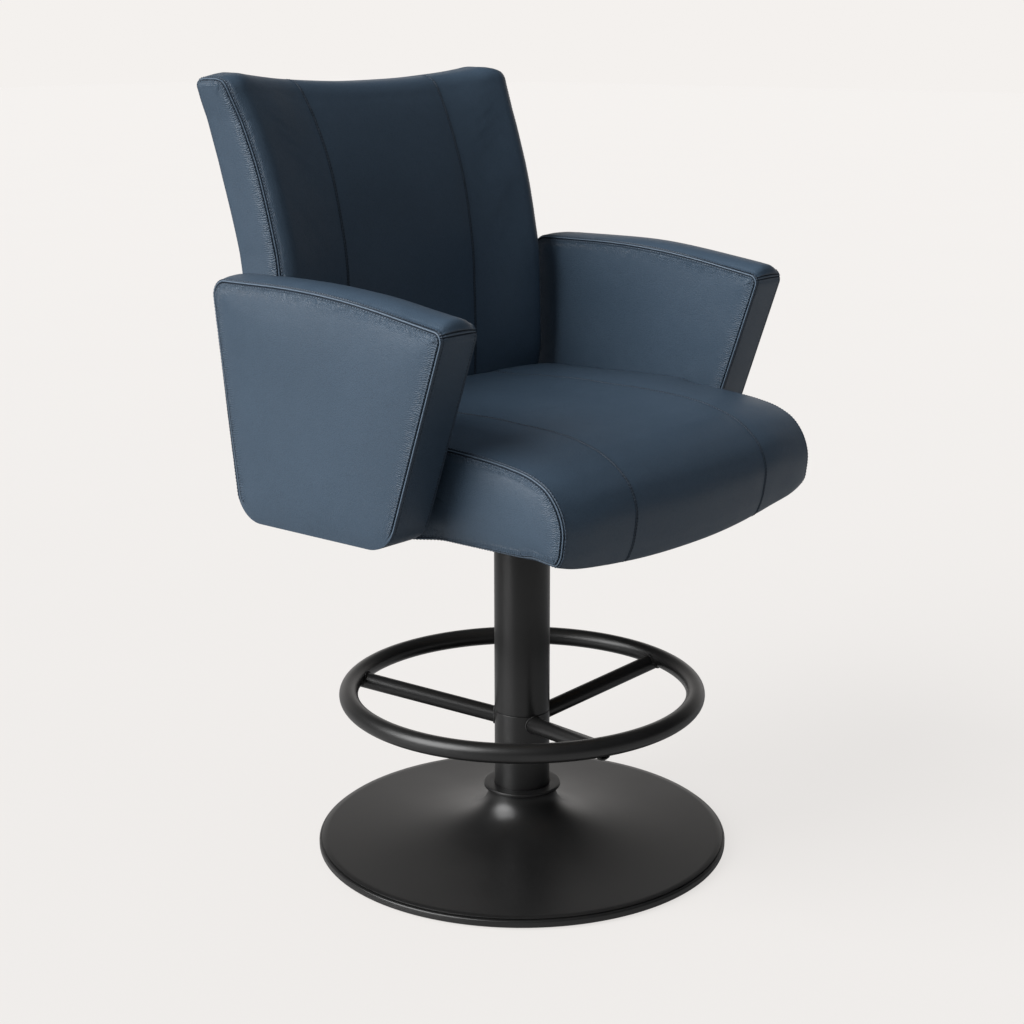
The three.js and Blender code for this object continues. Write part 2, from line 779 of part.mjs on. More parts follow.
function seatOutline(spread) {
  const bow = 1 - spread * spread;
  const front = -(seatFront - seatBow) - seatBow * bow;
  const lip = seatUnder - seatSideLip - (seatLipDrop - seatSideLip) * bow;
  const top = seatSideTop + seatCrown * bow;
  const fall = seatSideTop - seatUnder;
  const run = [[seatRear, seatUnder]];
  seatTopShares.forEach(([y, z]) => run.push([y * seatRear, top - z * fall]));
  noseShares.forEach(([y, z]) => run.push([front + y * seatNoseDepth, lip + z * (top - lip)]));
  run.push([front + boardFrontInset - 2 * overrun, seatUnder]);
  run.push([-armStart, seatUnder]);
  run.push([armBlend - armStart, seatUnder]);
  run.push([armFootMiddle + armBlend, seatUnder]);
  return run;
}

// Puff of a panel at a place across the cushion, with a channel where the seam draws it in.
function panelPuff(x, seamX, halfWidth, middlePuff, sidePuff) {
  const across = Math.abs(x);
  const inMiddle = across < seamX;
  const width = inMiddle ? seamX : (halfWidth - seamX) / 2;
  const from = inMiddle ? across : across - (halfWidth + seamX) / 2;
  const swell = (inMiddle ? middlePuff : sidePuff) * (1 - (from / width) ** 4);
  const channel = seamDepth * Math.max(0, 1 - Math.abs(across - seamX) / seamHalfWidth);
  return swell - channel;
}

function sectionPlaces(seamX, halfWidth, middleSteps, sideSteps) {
  const places = [];
  for (let i = 0; i < middleSteps; i++) places.push(((seamX - seamHalfWidth) * i) / middleSteps);
  places.push(seamX - seamHalfWidth, seamX, seamX + seamHalfWidth);
  const start = seamX + seamHalfWidth;
  const reach = halfWidth - gussetEdge - start;
  for (let i = 1; i <= sideSteps; i++) places.push(start + (reach * i) / sideSteps);
  places.push(halfWidth);
  return [...places.slice(1).reverse().map((x) => -x), ...places];
}

function buildSeatCushion() {
  const top = ([ny, nz]) => Math.max(0, nz, -ny * nosePuffShare);
  // Behind the front of the arms the side panels widen to meet them.
  const widened = (x, y) => {
    const beyond = Math.max(0, Math.abs(x) - seatSeamX) / (seatHalfWidth - seatSeamX);
    const behind = smooth((y + armStart) / armBlend);
    return x + Math.sign(x) * beyond * behind * (seatWing - seatHalfWidth);
  };
  // The rear stays flat against the back cushion.
  const vectors = (outline, x) =>
    outline.map(([y, z]) => new THREE.Vector3(widened(x, y), Math.min(y, seatRear), z));
  const sections = sectionPlaces(seatSeamX, seatHalfWidth, 3, 4).map((x) => {
    const puff = panelPuff(x, seatSeamX, seatHalfWidth, panelCrown, sidePanelCrown);
    return vectors(grown(seatOutline(x / seatHalfWidth), (normal) => puff * top(normal)), x);
  });
  const side = seatOutline(1);
  const inset = grown(side, () => -gussetEdge);
  const gusset = (outline, puff, sign) =>
    outline.map(([y, z]) => {
      const free = 1 - smooth((y + armStart) / armBlend);
      return new THREE.Vector3(widened(sign * seatHalfWidth, y) + sign * puff * free, y, z);
    });
  const left = [gusset(shrunk(side, 0.45), gussetPuff, -1), gusset(inset, 0.6 * gussetPuff, -1)];
  const right = [gusset(inset, 0.6 * gussetPuff, 1), gusset(shrunk(side, 0.45), gussetPuff, 1)];
  const [my, mz] = middleOf(side);
  const end = (sign) => new THREE.Vector3(widened(sign * seatHalfWidth, my), my, mz);
  const body = skinned(end(-1), [...left, ...sections, ...right], end(1));
  const pocket = new THREE.Shape(roundedPoints(boardCorners(fitGap)));
  place("seat_cushion", cut(body, [raised(pocket, seatUnder - overrun, boardTop + fitGap)]), leather);
}

// Back section: shares of the height, and of the lean at that height
const backFrontShares = [
  [0, 0],
  [0.36, 0],
  [0.53, 0.013],
  [0.655, 0.125],
  [0.76, 0.27],
  [0.87, 0.53],
  [0.96, 0.81],
  [1.03, 1.03],
];
const backRearShares = [
  [0, 0],
  [0.4, 0],
  [0.573, 0.15],
  [0.675, 0.32],
  [0.782, 0.55],
  [0.889, 0.77],
  [1.03, 1.05],
];
// How far the sides come in towards the seat, against the height
const backTaperShares = [
  [0, 1],
  [0.57, 1],
  [0.77, 0.55],
  [0.89, 0],
];
// How far the sides come forward, against the height
const backWingShares = [
  [0, 0],
  [0.21, 0],
  [0.34, 0.8],
  [0.57, 1],
  [0.67, 0.65],
  [0.77, 0.41],
  [0.88, 0.24],
  [1, 0.7],
];
const backFrontRowShares = [0.96, 0.87, 0.76, 0.655, 0.53, 0.44, 0.36, 0.27, 0.21, 0.1, 0];
const backRearRowShares = [0, 0.22, 0.4, 0.573, 0.675, 0.782, 0.889, 0.965];
const archSteps = 6;
const archSquare = 0.55; // under 1 squares the corners of the arch

function backFrontAt(x, share) {
  const wing = smooth((Math.abs(x) - backSeamX) / (backHalfWidth - backSeamX));
  const lean = backLean * readShares(backFrontShares, share);
  return backFrontLow + lean - backWing * wing * readShares(backWingShares, share);
}

function backRearAt(share) {
  return backFrontLow + backThickness + backRearLean * readShares(backRearShares, share);
}

function backTopAt(x) {
  const across = Math.abs(x);
  const rise = backEarRise * Math.min(1, across / backEarX) ** 3;
  const drop = backEarDrop * smooth((across - backHalfWidth) / backEarShoulder + 1);
  return backTop + rise - drop;
}

function backOutline(x) {
  const stretch = (backTopAt(x) - archRise - backUnder) / (backHeight - archRise);
  const height = (share) => backUnder + share * backHeight * stretch;
  const run = backRearRowShares.map((share) => [backRearAt(share * stretch), height(share)]);
  const [rearY, rearZ] = run.at(-1);
  const frontShare = backFrontRowShares[0];
  const frontY = backFrontAt(x, frontShare * stretch);
  const frontZ = height(frontShare);
  const topZ = backTopAt(x);
  for (let i = 1; i < archSteps; i++) {
    const angle = (i / archSteps) * Math.PI;
    const base = rearZ + ((frontZ - rearZ) * i) / archSteps;
    const middle = (rearY + frontY) / 2;
    const half = (rearY - frontY) / 2;
    const across = Math.sign(Math.cos(angle)) * Math.abs(Math.cos(angle)) ** archSquare;
    run.push([middle + half * across, base + (topZ - base) * Math.sin(angle) ** archSquare]);
  }
  backFrontRowShares.forEach((share) => run.push([backFrontAt(x, share * stretch), height(share)]));
  return run;
}

// The back board is bent once: upright behind the seat, then leaning with the back.
function backBoardOutline(extra, under) {
  const front = backFrontLow + backBoardCover - extra;
  const rear = front + backBoardThickness + 2 * extra;
  const bend = backUnder + backBoardBendShare * backHeight;
  const top = backUnder + backBoardTopShare * backHeight + extra;
  const lean = backLean * backBoardLeanShare;
  return new THREE.Shape([
    new THREE.Vector2(front, backUnder - under),
    new THREE.Vector2(rear, backUnder - under),
    new THREE.Vector2(rear, bend),
    new THREE.Vector2(rear + lean, top),
    new THREE.Vector2(front + lean, top),
    new THREE.Vector2(front, bend),
  ]);
}

const barFront = backFrontLow + backBoardCover + backBoardThickness + fitGap;
const barRear = barFront + backBarThickness;
const barTop = seatUnder + backBarRise;

function backBoltTool(radius, length, x, z) {
  const tool = rod(radius, length, holeSides);
  tool.rotateX(Math.PI / 2);
  return tool.translate(x, barRear, z);
}

function buildBack() {
  const places = sectionPlaces(backSeamX, backHalfWidth, 3, 5);
  const front = (normal) => Math.max(0, -normal[0]);
  const rear = (normal) => Math.max(0, normal[0]);
  const narrowed = (x, z) => {
    const taper = backTaper * readShares(backTaperShares, (z - backUnder) / backHeight);
    return x * (1 - taper / backHalfWidth);
  };
  const vectors = (outline, x) => outline.map(([y, z]) => new THREE.Vector3(narrowed(x, z), y, z));
  const crownAt = (x) => backCrown * (1 - (x / backHalfWidth) ** 2);
  const sections = places.map((x) => {
    const puff = panelPuff(x, backSeamX, backHalfWidth, panelCrown, panelCrown);
    const outline = grown(backOutline(x), (normal) => puff * front(normal) + crownAt(x) * rear(normal));
    return vectors(outline, x);
  });
  const side = backOutline(backHalfWidth);
  const inset = grown(side, () => -gussetEdge);
  const gusset = (outline, puff, sign) => vectors(outline, sign * (backHalfWidth + puff));
  const left = [gusset(shrunk(side, 0.5), backPuff, -1), gusset(inset, 0.7 * backPuff, -1)];
  const right = [gusset(inset, 0.7 * backPuff, 1), gusset(shrunk(side, 0.5), backPuff, 1)];
  const [my, mz] = middleOf(side);
  const end = (sign) => new THREE.Vector3(sign * (backHalfWidth + backPuff), my, mz);
  const body = skinned(end(-1), [...left, ...sections, ...right], end(1));
  const pocketHalf = backBoardHalfWidth + fitGap;
  const tools = [acrossX(backBoardOutline(fitGap, overrun), -pocketHalf, pocketHalf)];
  const slotDepth = backBarThickness + screwHeadHeight + 3 * fitGap;
  const slot = new THREE.Shape([
    new THREE.Vector2(barFront - overrun, backUnder - overrun),
    new THREE.Vector2(barFront + slotDepth, backUnder - overrun),
    new THREE.Vector2(barFront + slotDepth, barTop + fitGap),
    new THREE.Vector2(barFront - overrun, barTop + fitGap),
  ]);
  const slotHalf = backBarWidth / 2 + fitGap;
  for (const sign of [-1, 1]) {
    const middle = sign * backBarX;
    tools.push(acrossX(slot, middle - slotHalf, middle + slotHalf));
  }
  place("back_cushion", cut(body, tools), leather);

  const holes = [];
  for (const sign of [-1, 1]) {
    for (const rise of backRiseBolts) {
      const hole = screwDiameter / 2 + boreSlack;
      const length = backBarThickness + backBoardThickness + 2 * overrun;
      const tool = backBoltTool(hole, length, sign * backBarX, seatUnder + rise);
      holes.push(tool.translate(0, overrun, 0));
    }
  }
  const board = acrossX(backBoardOutline(0, 0), -backBoardHalfWidth, backBoardHalfWidth);
  place("back_board", cut(board, holes), plywood);

  const barUnder = seatUnder - fitGap - backBarThickness;
  const bend = new THREE.Shape([
    new THREE.Vector2(backBarFront, barUnder),
    new THREE.Vector2(barRear - backBarThickness, barUnder),
    new THREE.Vector2(barRear, barUnder + backBarThickness),
    new THREE.Vector2(barRear, barTop),
    new THREE.Vector2(barFront, barTop),
    new THREE.Vector2(barFront, barUnder + backBarThickness),
    new THREE.Vector2(backBarFront, barUnder + backBarThickness),
  ]);
  const screwHole = screwDiameter / 2 + boreSlack;
  ["right", "left"].forEach((name, i) => {
    const middle = (i * 2 - 1) * backBarX;
    const bar = acrossX(bend, middle - backBarWidth / 2, middle + backBarWidth / 2);
    const footHoles = backFootBolts.map((reach) =>
      rod(screwHole, backBarThickness + 2 * overrun, holeSides)
        .translate(middle, backBarFront + reach, barUnder - overrun),
    );
    place("back_bracket_" + name, cut(bar, [...holes, ...footHoles]), blackSteel);
  });
  backFootPlaces.forEach(([x, y], i) => {
    const length = boardTop - barUnder - fitGap;
    const screw = boltUp(screwHeadWidth, screwHeadHeight, screwDiameter, length, x, y, barUnder - fitGap);
    place("back_foot_screw_" + (i + 1), screw, bareSteel);
  });
  let count = 0;
  for (const sign of [-1, 1]) {
    for (const rise of backRiseBolts) {
      count += 1;
      const length = backBarThickness + backBoardThickness;
      const screw = boltUp(screwHeadWidth, screwHeadHeight, screwDiameter, length, 0, 0, 0);
      screw.rotateX(Math.PI / 2);
      screw.translate(sign * backBarX, barRear + fitGap, seatUnder + rise);
      place("back_screw_" + count, screw, bareSteel);
    }
  }
}

// The arm's side view, from the heel round the top and back to the toe.
// The inner share is 1 on the inner face.
function armOutline(innerShare) {
  const rearAt = (rear) => rear + innerShare * (armRearInner - rear);
  const corners = [
    [rearAt(armRearBottom), seatUnder, armHeelRadius],
    [rearAt(armRearTop), armTop, armCornerRear],
    [armPeak, armTop, armTopBend],
    [-armFrontTop, armTop - armFrontDrop, armCornerFront],
    [-armFrontBottom, seatUnder, armToeRadius],
  ];
  const rounded = roundedPoints(corners).map((point) => [point.x, point.y]);
  // The straights between the arcs get points of their own, so that a puffed face keeps its form.
  return rounded.flatMap(([y, z], i) => {
    const [ny, nz] = rounded[(i + 1) % rounded.length];
    const pieces = i % (cornerSteps + 1) === cornerSteps ? armRunSteps : 1;
    const points = [];
    for (let k = 0; k < pieces; k++) points.push([y + ((ny - y) * k) / pieces, z + ((nz - z) * k) / pieces]);
    return points;
  });
}

function armBoardOutline(extra, under) {
  const top = armTop - armFrontDrop - armBoardTopInset + extra;
  const footMiddle = (armRearBottom - armFrontBottom) / 2;
  return new THREE.Shape([
    new THREE.Vector2(footMiddle - armBoardFoot - extra, seatUnder - under),
    new THREE.Vector2(footMiddle + armBoardFoot + extra, seatUnder - under),
    new THREE.Vector2(armRearTop - armBoardInset + extra, top),
    new THREE.Vector2(armBoardInset - armFrontTop + armBoardInset - extra, top),
  ]);
}

function buildArm(name, sign, screwPlaces, firstScrew) {
  const inner = sign * armInner;
  const outer = sign * (armInner + armThickness);
  const outlineAt = (x) => armOutline(THREE.MathUtils.clamp((outer - x) / (outer - inner), 0, 1));
  const ring = (points, x) => points.map(([y, z]) => new THREE.Vector3(x, y, z));
  // The top is crowned more towards its front, and the ends are nearly flat.
  const rim = (share, x) => {
    const outline = outlineAt(x);
    const swell = ([ny, nz], i) => {
      const forward = THREE.MathUtils.inverseLerp(armRearTop, -armFrontTop, outline[i][0]);
      const crown = armCrownRear + forward * (armCrownFront - armCrownRear);
      const end = ny > 0 ? armRearPuff : armFrontPuff;
      return share * (crown * Math.max(0, nz) ** 2 + end * ny * ny);
    };
    return ring(grown(outline, swell), x);
  };
  const face = (inset, x) => ring(grown(outlineAt(x), () => -inset), x);
  const disc = (share, x) => ring(shrunk(outlineAt(x), share), x);
  const step = sign * armThickness;
  const seam = sign * armSeamInset;
  const sections = [
    disc(0.5, inner - sign * armInnerPuff),
    disc(0.85, inner - 0.6 * sign * armInnerPuff),
    face(2 * armSeamInset, inner),
    face(armSeamDepth, inner + 0.7 * seam),
    rim(0.35, inner + 2 * seam),
    rim(0.85, inner + 0.27 * step),
    rim(1, inner + 0.5 * step),
    rim(0.85, outer - 0.27 * step),
    rim(0.35, outer - 2 * seam),
    face(armSeamDepth, outer - 0.7 * seam),
    face(2 * armSeamInset, outer),
    disc(0.85, outer + 0.6 * sign * armFacePuff),
    disc(0.5, outer + sign * armFacePuff),
  ];
  const start = new THREE.Vector3(inner - sign * armInnerPuff, ...middleOf(outlineAt(inner)));
  const end = new THREE.Vector3(outer + sign * armFacePuff, ...middleOf(outlineAt(outer)));
  const body = skinned(start, sections, end);
  const boardHalf = armBoardThickness / 2;
  const middle = sign * armMiddle;
  const pocketHalf = boardHalf + fitGap;
  const pocket = acrossX(armBoardOutline(fitGap, overrun), middle - pocketHalf, middle + pocketHalf);
  place("arm_pad_" + name, cut(body, [pocket]), leather);

  const screwHole = screwDiameter / 2 + boreSlack;
  const holeDepth = armScrewLength + overrun;
  const mine = screwPlaces.filter(([x]) => Math.sign(x) === sign);
  const holeBottom = seatUnder - overrun;
  const holes = mine.map(([x, y]) => rod(screwHole, holeDepth, holeSides).translate(x, y, holeBottom));
  const board = acrossX(armBoardOutline(0, 0), middle - boardHalf, middle + boardHalf);
  place("arm_board_" + name, cut(board, holes), plywood);

  const bracketTop = seatUnder - fitGap;
  const bracketUnder = bracketTop - bracketThickness;
  const to = armInner + armThickness - armBracketHoleInset / 2;
  const plate = roundedBox((to - armBracketFrom) / 2, armBracketWidth / 2, plateCorner / 2);
  const centre = (sign * (to + armBracketFrom)) / 2;
  const all = [...mine, ...armSeatScrews.filter(([x]) => Math.sign(x) === sign)];
  all.forEach(([x, y]) => drill(plate, x - centre, y - armFootMiddle, screwHole));
  const bracket = raised(plate, bracketUnder, bracketTop).translate(centre, armFootMiddle, 0);
  place("arm_bracket_" + name, bracket, blackSteel);
  all.forEach(([x, y], i) => {
    const intoBoard = armScrewLength + bracketThickness - fitGap;
    const length = i < mine.length ? intoBoard : boardTop - bracketUnder - fitGap;
    const headTop = bracketUnder - fitGap;
    const screw = boltUp(screwHeadWidth, screwHeadHeight, screwDiameter, length, x, y, headTop);
    place("arm_screw_" + (firstScrew + i), screw, bareSteel);
  });
}

buildBase();
buildColumn();
buildFootRing();
buildSwivel();
buildSeatFrame();
buildSeatCushion();
buildBack();
buildArm("right", -1, armPadScrews, 1);
buildArm("left", 1, armPadScrews, 5);

export default stool;
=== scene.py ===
# %% [markdown]
# An upholstered swivel stool
#
# This lesson dresses a finished steel and plywood frame: a round base, a column with a foot ring, and a
# padded seat, back and pair of arms in slate navy leather. The frame comes in as fixed nodes at their real
# size, in metres, with +Z up and the sitter facing -Y. Nothing in it is moved. Each step below adds one
# finish or one finer surface.

# %% Load the frame
import json
import math
from collections import namedtuple

import bpy
import numpy as np
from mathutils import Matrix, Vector
from mathutils.kdtree import KDTree


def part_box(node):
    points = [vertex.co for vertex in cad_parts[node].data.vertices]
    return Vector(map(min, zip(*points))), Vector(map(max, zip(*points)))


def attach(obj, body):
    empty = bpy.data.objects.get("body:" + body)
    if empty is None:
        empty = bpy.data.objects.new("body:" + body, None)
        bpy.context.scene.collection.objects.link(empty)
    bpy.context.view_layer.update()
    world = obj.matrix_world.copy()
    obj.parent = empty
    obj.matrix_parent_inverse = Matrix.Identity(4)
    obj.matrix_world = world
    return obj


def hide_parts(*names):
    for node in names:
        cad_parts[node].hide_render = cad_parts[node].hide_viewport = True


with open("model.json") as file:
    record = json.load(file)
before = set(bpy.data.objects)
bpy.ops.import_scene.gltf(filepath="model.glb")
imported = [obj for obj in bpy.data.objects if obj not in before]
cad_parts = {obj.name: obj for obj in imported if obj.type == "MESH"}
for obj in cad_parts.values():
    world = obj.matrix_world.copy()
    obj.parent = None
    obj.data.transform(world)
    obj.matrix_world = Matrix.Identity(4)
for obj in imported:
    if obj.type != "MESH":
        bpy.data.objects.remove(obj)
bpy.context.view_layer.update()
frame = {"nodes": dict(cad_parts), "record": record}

# %% [markdown]
# Camera
#
# The photograph looks down on the stool from the sitter's right, a little to the front. The lens and the
# place were worked out from the ellipses of the base and of the foot ring, whose real sizes are known, so
# they are plain numbers here: a place, three angles, a focal length and a small shift of the picture.

# %% Camera
SENSOR = 36.0
FOCAL_LENGTH = 65.78
CAMERA_PLACE = (-1.856, -1.525, 1.084)
CAMERA_TURN = (75.52, 0.0, -50.58)
CAMERA_SHIFT = (-0.0095, 0.0012)

camera_data = bpy.data.cameras.new("camera")
camera_data.sensor_width = SENSOR
camera_data.lens = FOCAL_LENGTH
camera_data.shift_x, camera_data.shift_y = CAMERA_SHIFT
camera = bpy.data.objects.new("camera", camera_data)
camera.location = CAMERA_PLACE
camera.rotation_euler = [math.radians(angle) for angle in CAMERA_TURN]
bpy.context.scene.collection.objects.link(camera)
bpy.context.scene.camera = camera
bpy.context.scene.view_settings.view_transform = "Standard"
print("camera at", CAMERA_PLACE, "with a lens of", FOCAL_LENGTH, "mm")

# %% [markdown]
# Node maths as Python
#
# Shader and geometry trees are easier to read as sums than as boxes. This class wraps one output of a
# tree. A sum or a product of two of them adds the Math node that it needs, and any other node comes from
# its node method.


# %% A socket that can be added and multiplied
class Wire:
    """One output in a node tree. Arithmetic on it adds Math nodes."""

    def __init__(self, tree, socket=None):
        self.tree = tree
        self.socket = socket

    def node(self, kind, settings=None, sockets=None, output=0):
        """Adds a node: its settings come first, then the values or links of its sockets."""
        made = self.tree.nodes.new(kind)
        for name, value in (settings or {}).items():
            if name == "stops":
                ramp = made.color_ramp.elements
                while len(ramp) < len(value):
                    ramp.new(0.5)
                for stop, (place, colour) in zip(ramp, value):
                    stop.position = place
                    stop.color = (*colour, 1.0)
            else:
                setattr(made, name, value)
        for name, value in (sockets or {}).items():
            if isinstance(value, Wire):
                self.tree.links.new(value.socket, made.inputs[name])
            else:
                made.inputs[name].default_value = value
        return Wire(self.tree, made.outputs[output])

    def math(self, operation, *others):
        return self.node("ShaderNodeMath", {"operation": operation}, dict(enumerate((self, *others))))

    def __add__(self, other):
        return self.math("ADD", other)

    def __radd__(self, other):
        return self.math("ADD", other)

    def __mul__(self, other):
        return self.math("MULTIPLY", other)

    def __rmul__(self, other):
        return self.math("MULTIPLY", other)

    def __sub__(self, other):
        return self.math("SUBTRACT", other)

    def __rsub__(self, other):
        return self.node("ShaderNodeMath", {"operation": "SUBTRACT"}, {0: other, 1: self})

    def __truediv__(self, other):
        return self.math("DIVIDE", other)

    def clamped(self):
        return self.node("ShaderNodeClamp", None, {"Value": self})

    def between(self, first, second):
        """A colour that runs from the first to the second as this wire runs from 0 to 1."""
        return self.node("ShaderNodeMix", {"data_type": "RGBA"}, {0: self, 6: first, 7: second}, 2)


print("node maths ready")

# %% [markdown]
# A finish in one call
#
# Every material here is a Principled surface whose colour, roughness and bump change over the piece.
# Patterns read Object coordinates, and every finished piece sits at the origin, so one millimetre in a
# pattern is one millimetre on the stool. Values that are the same all over are set on the shader's own
# sockets.

# %% Finish helper
def start_finish(name, **constants):
    """A new material, its empty wire, its Principled node and the Object coordinates."""
    material = bpy.data.materials.new(name)
    material.use_nodes = True
    tree = material.node_tree
    shader = tree.nodes["Principled BSDF"]
    for socket, value in constants.items():
        shader.inputs[socket.replace("_", " ")].default_value = value
    wire = Wire(tree)
    place = wire.node("ShaderNodeTexCoord", None, None, 3)
    return material, wire, shader, place


def feed(shader, **links):
    for socket, wire in links.items():
        wire.tree.links.new(wire.socket, shader.inputs[socket.replace("_", " ")])


def noise(place, scale, detail=2.0, roughness=0.5):
    values = {"Vector": place, "Scale": scale, "Detail": detail, "Roughness": roughness}
    return place.node("ShaderNodeTexNoise", None, values)


def bumped(height, distance, strength=1.0, below=None):
    values = {"Height": height, "Distance": distance, "Strength": strength}
    if below is not None:
        values["Normal"] = below
    return height.node("ShaderNodeBump", None, values)


print("finish helper ready")

# %% [markdown]
# Leather
#
# The covers are smooth upholstery leather with a fine pebble grain, about a millimetre from pebble to
# pebble. It is a Voronoi cell pattern softened by noise. Seams add three things: painted shade, a near-black
# colour in each groove and a fainter one along the stitch rows; a paler, a little glossier band on the welt
# and the rolled edges, which is partly wear and partly painted highlight; and tiny gathers that run away
# from the stitches. The covers carry attributes for this: how much painted groove shade a point gets, how
# much wear and painted highlight, how far along a seam it lies and how strongly the cover is gathered there.

# %% Leather
LEATHER_DARK = (0.044, 0.072, 0.106, 1.0)
LEATHER_LIGHT = (0.053, 0.085, 0.124, 1.0)
LEATHER_DEEP = (0.022, 0.034, 0.052, 1.0)
# painted shade: a near-black colour for the seam grooves and, fainter, for the stitch rows
LEATHER_GROOVE_SHADE = (0.006, 0.010, 0.017, 1.0)
# partly wear and partly painted highlight: a paler colour for the welt and the rolled edges
LEATHER_WEAR_SHEEN = (0.130, 0.175, 0.230, 1.0)
HIDE_SCALE = 9.0
CLOUD_SCALE = 60.0
GRAIN_SCALE = 760.0
PORE_SCALE = 2600.0
WRINKLE_SCALE = 360.0
CREASE_SCALE = 190.0
GATHER_PITCH = 0.0027
GATHER_DRIFT_SCALE = 130.0
GATHER_PATCH_SCALE = 260.0
GRAIN_DEPTH = 0.00022
GATHER_DEPTH = 0.00042
CREASE_DEPTH = 0.00030


def attribute(wire, name):
    return wire.node("ShaderNodeAttribute", {"attribute_name": name}, None, 2)


def leather_finish():
    material, wire, shader, place = start_finish("slate_leather", Specular_IOR_Level=0.40)
    groove = attribute(wire, "groove")
    rubbed = attribute(wire, "rubbed")
    gather = attribute(wire, "gather")
    along = attribute(wire, "along")
    cells = wire.node(
        "ShaderNodeTexVoronoi",
        {"feature": "SMOOTH_F1"},
        {"Vector": place, "Scale": GRAIN_SCALE, "Smoothness": 0.35},
    )
    wrinkled = wire.node(
        "ShaderNodeTexVoronoi",
        {"feature": "DISTANCE_TO_EDGE"},
        {"Vector": place, "Scale": WRINKLE_SCALE},
    )
    broad = noise(place, HIDE_SCALE, 3.0)
    cloudy = noise(place, CLOUD_SCALE, 4.0)
    tone = 0.55 * broad + 0.45 * cloudy
    body = (tone * 2.2 - 0.6).clamped().between(LEATHER_DARK, LEATHER_LIGHT)
    pebbles = (cells * 0.5).clamped().between(body, LEATHER_DEEP)
    # partly wear and partly painted highlight: the welt and the rolled edges turn paler
    wear_and_sheen_colour = (rubbed * (0.55 + 0.5 * cloudy)).clamped().between(pebbles, LEATHER_WEAR_SHEEN)
    # painted shade: the grooves and the stitch rows turn near-black
    colour = groove.clamped().between(wear_and_sheen_colour, LEATHER_GROOVE_SHADE)
    roughness = 0.38 + 0.10 * cloudy + 0.06 * cells - 0.06 * rubbed + 0.3 * groove
    wrinkles = (wrinkled * 5.0).clamped() * (0.2 + 1.2 * gather)
    fine = bumped((1.0 - cells) + 0.35 * noise(place, PORE_SCALE) + wrinkles, GRAIN_DEPTH, 0.6)
    drift = 2.6 * noise(place, GATHER_DRIFT_SCALE)
    patchy = (noise(place, GATHER_PATCH_SCALE) * 2.6 - 0.6).clamped()
    ripple = ((along / GATHER_PITCH + drift) * (2.0 * math.pi)).math("SINE") * gather * patchy
    gathers = bumped(ripple, GATHER_DEPTH, 1.0, fine)
    creased = bumped(noise(place, CREASE_SCALE, 3.0, 0.6), CREASE_DEPTH, 0.5, gathers)
    feed(shader, Base_Color=colour, Roughness=roughness, Normal=creased)
    return material


leather = leather_finish()
print("leather:", len(leather.node_tree.nodes), "nodes")

# %% [markdown]
# Thread
#
# The topstitching is bonded thread in the cover's own colour, a shade darker, so that a row reads as a
# dotted line.

# %% Thread
THREAD_DARK = (0.012, 0.019, 0.031, 1.0)
THREAD_LIGHT = (0.030, 0.045, 0.068, 1.0)
FIBRE_SCALE = 3400.0
FIBRE_DEPTH = 0.00006


def thread_finish():
    material, wire, shader, place = start_finish("navy_thread", Specular_IOR_Level=0.3)
    fibre = noise(place, FIBRE_SCALE, 2.0)
    feed(
        shader,
        Base_Color=fibre.between(THREAD_DARK, THREAD_LIGHT),
        Roughness=0.5 + 0.2 * fibre,
        Normal=bumped(fibre, FIBRE_DEPTH, 0.6),
    )
    return material


thread = thread_finish()
print("thread:", len(thread.node_tree.nodes), "nodes")

# %% [markdown]
# Powder coat
#
# The base, the column and the foot ring are powder coated satin black. Powder flows into a very fine
# orange peel when it is baked, and sitters' shoes dull it in faint patches. The brackets under the seat
# get the same coat.

# %% Powder coat
POWDER_DARK = (0.0070, 0.0070, 0.0073, 1.0)
POWDER_DUSTY = (0.0130, 0.0128, 0.0125, 1.0)
POWDER_SPECK = (0.045, 0.045, 0.044, 1.0)
PEEL_SCALE = 900.0
DUST_SCALE = 14.0
SPECK_SCALE = 2600.0
PEEL_DEPTH = 0.00011


def powder_finish():
    material, wire, shader, place = start_finish("black_powder_coat", Specular_IOR_Level=0.5)
    peel = noise(place, PEEL_SCALE, 2.0)
    dust = noise(place, DUST_SCALE, 5.0, 0.6)
    specks = noise(place, SPECK_SCALE, 1.0)
    shade = dust.between(POWDER_DARK, POWDER_DUSTY)
    feed(
        shader,
        Base_Color=((specks * 6.0 - 3.9).clamped() * 0.4).between(shade, POWDER_SPECK),
        Roughness=0.30 + 0.10 * dust,
        Normal=bumped(peel + 0.3 * specks, PEEL_DEPTH, 0.4),
    )
    return material


powder_coat = powder_finish()
print("powder coat:", len(powder_coat.node_tree.nodes), "nodes")

# %% [markdown]
# Hidden finishes
#
# Zinc plated steel, plywood, rubber and nylon show only from below or behind. Steel turned on a lathe
# keeps fine rings, so its streaks follow height. Rubber is gritty and nylon slightly cloudy. Each is one
# noise pattern between a dark and a light colour.

# %% Steel
ZINC_DARK = (0.36, 0.37, 0.38, 1.0)
ZINC_LIGHT = (0.50, 0.50, 0.49, 1.0)
LATHE_STRETCH = 60.0
LATHE_SCALE = 40.0
LATHE_DEPTH = 0.00005
STAIN_SCALE = 70.0


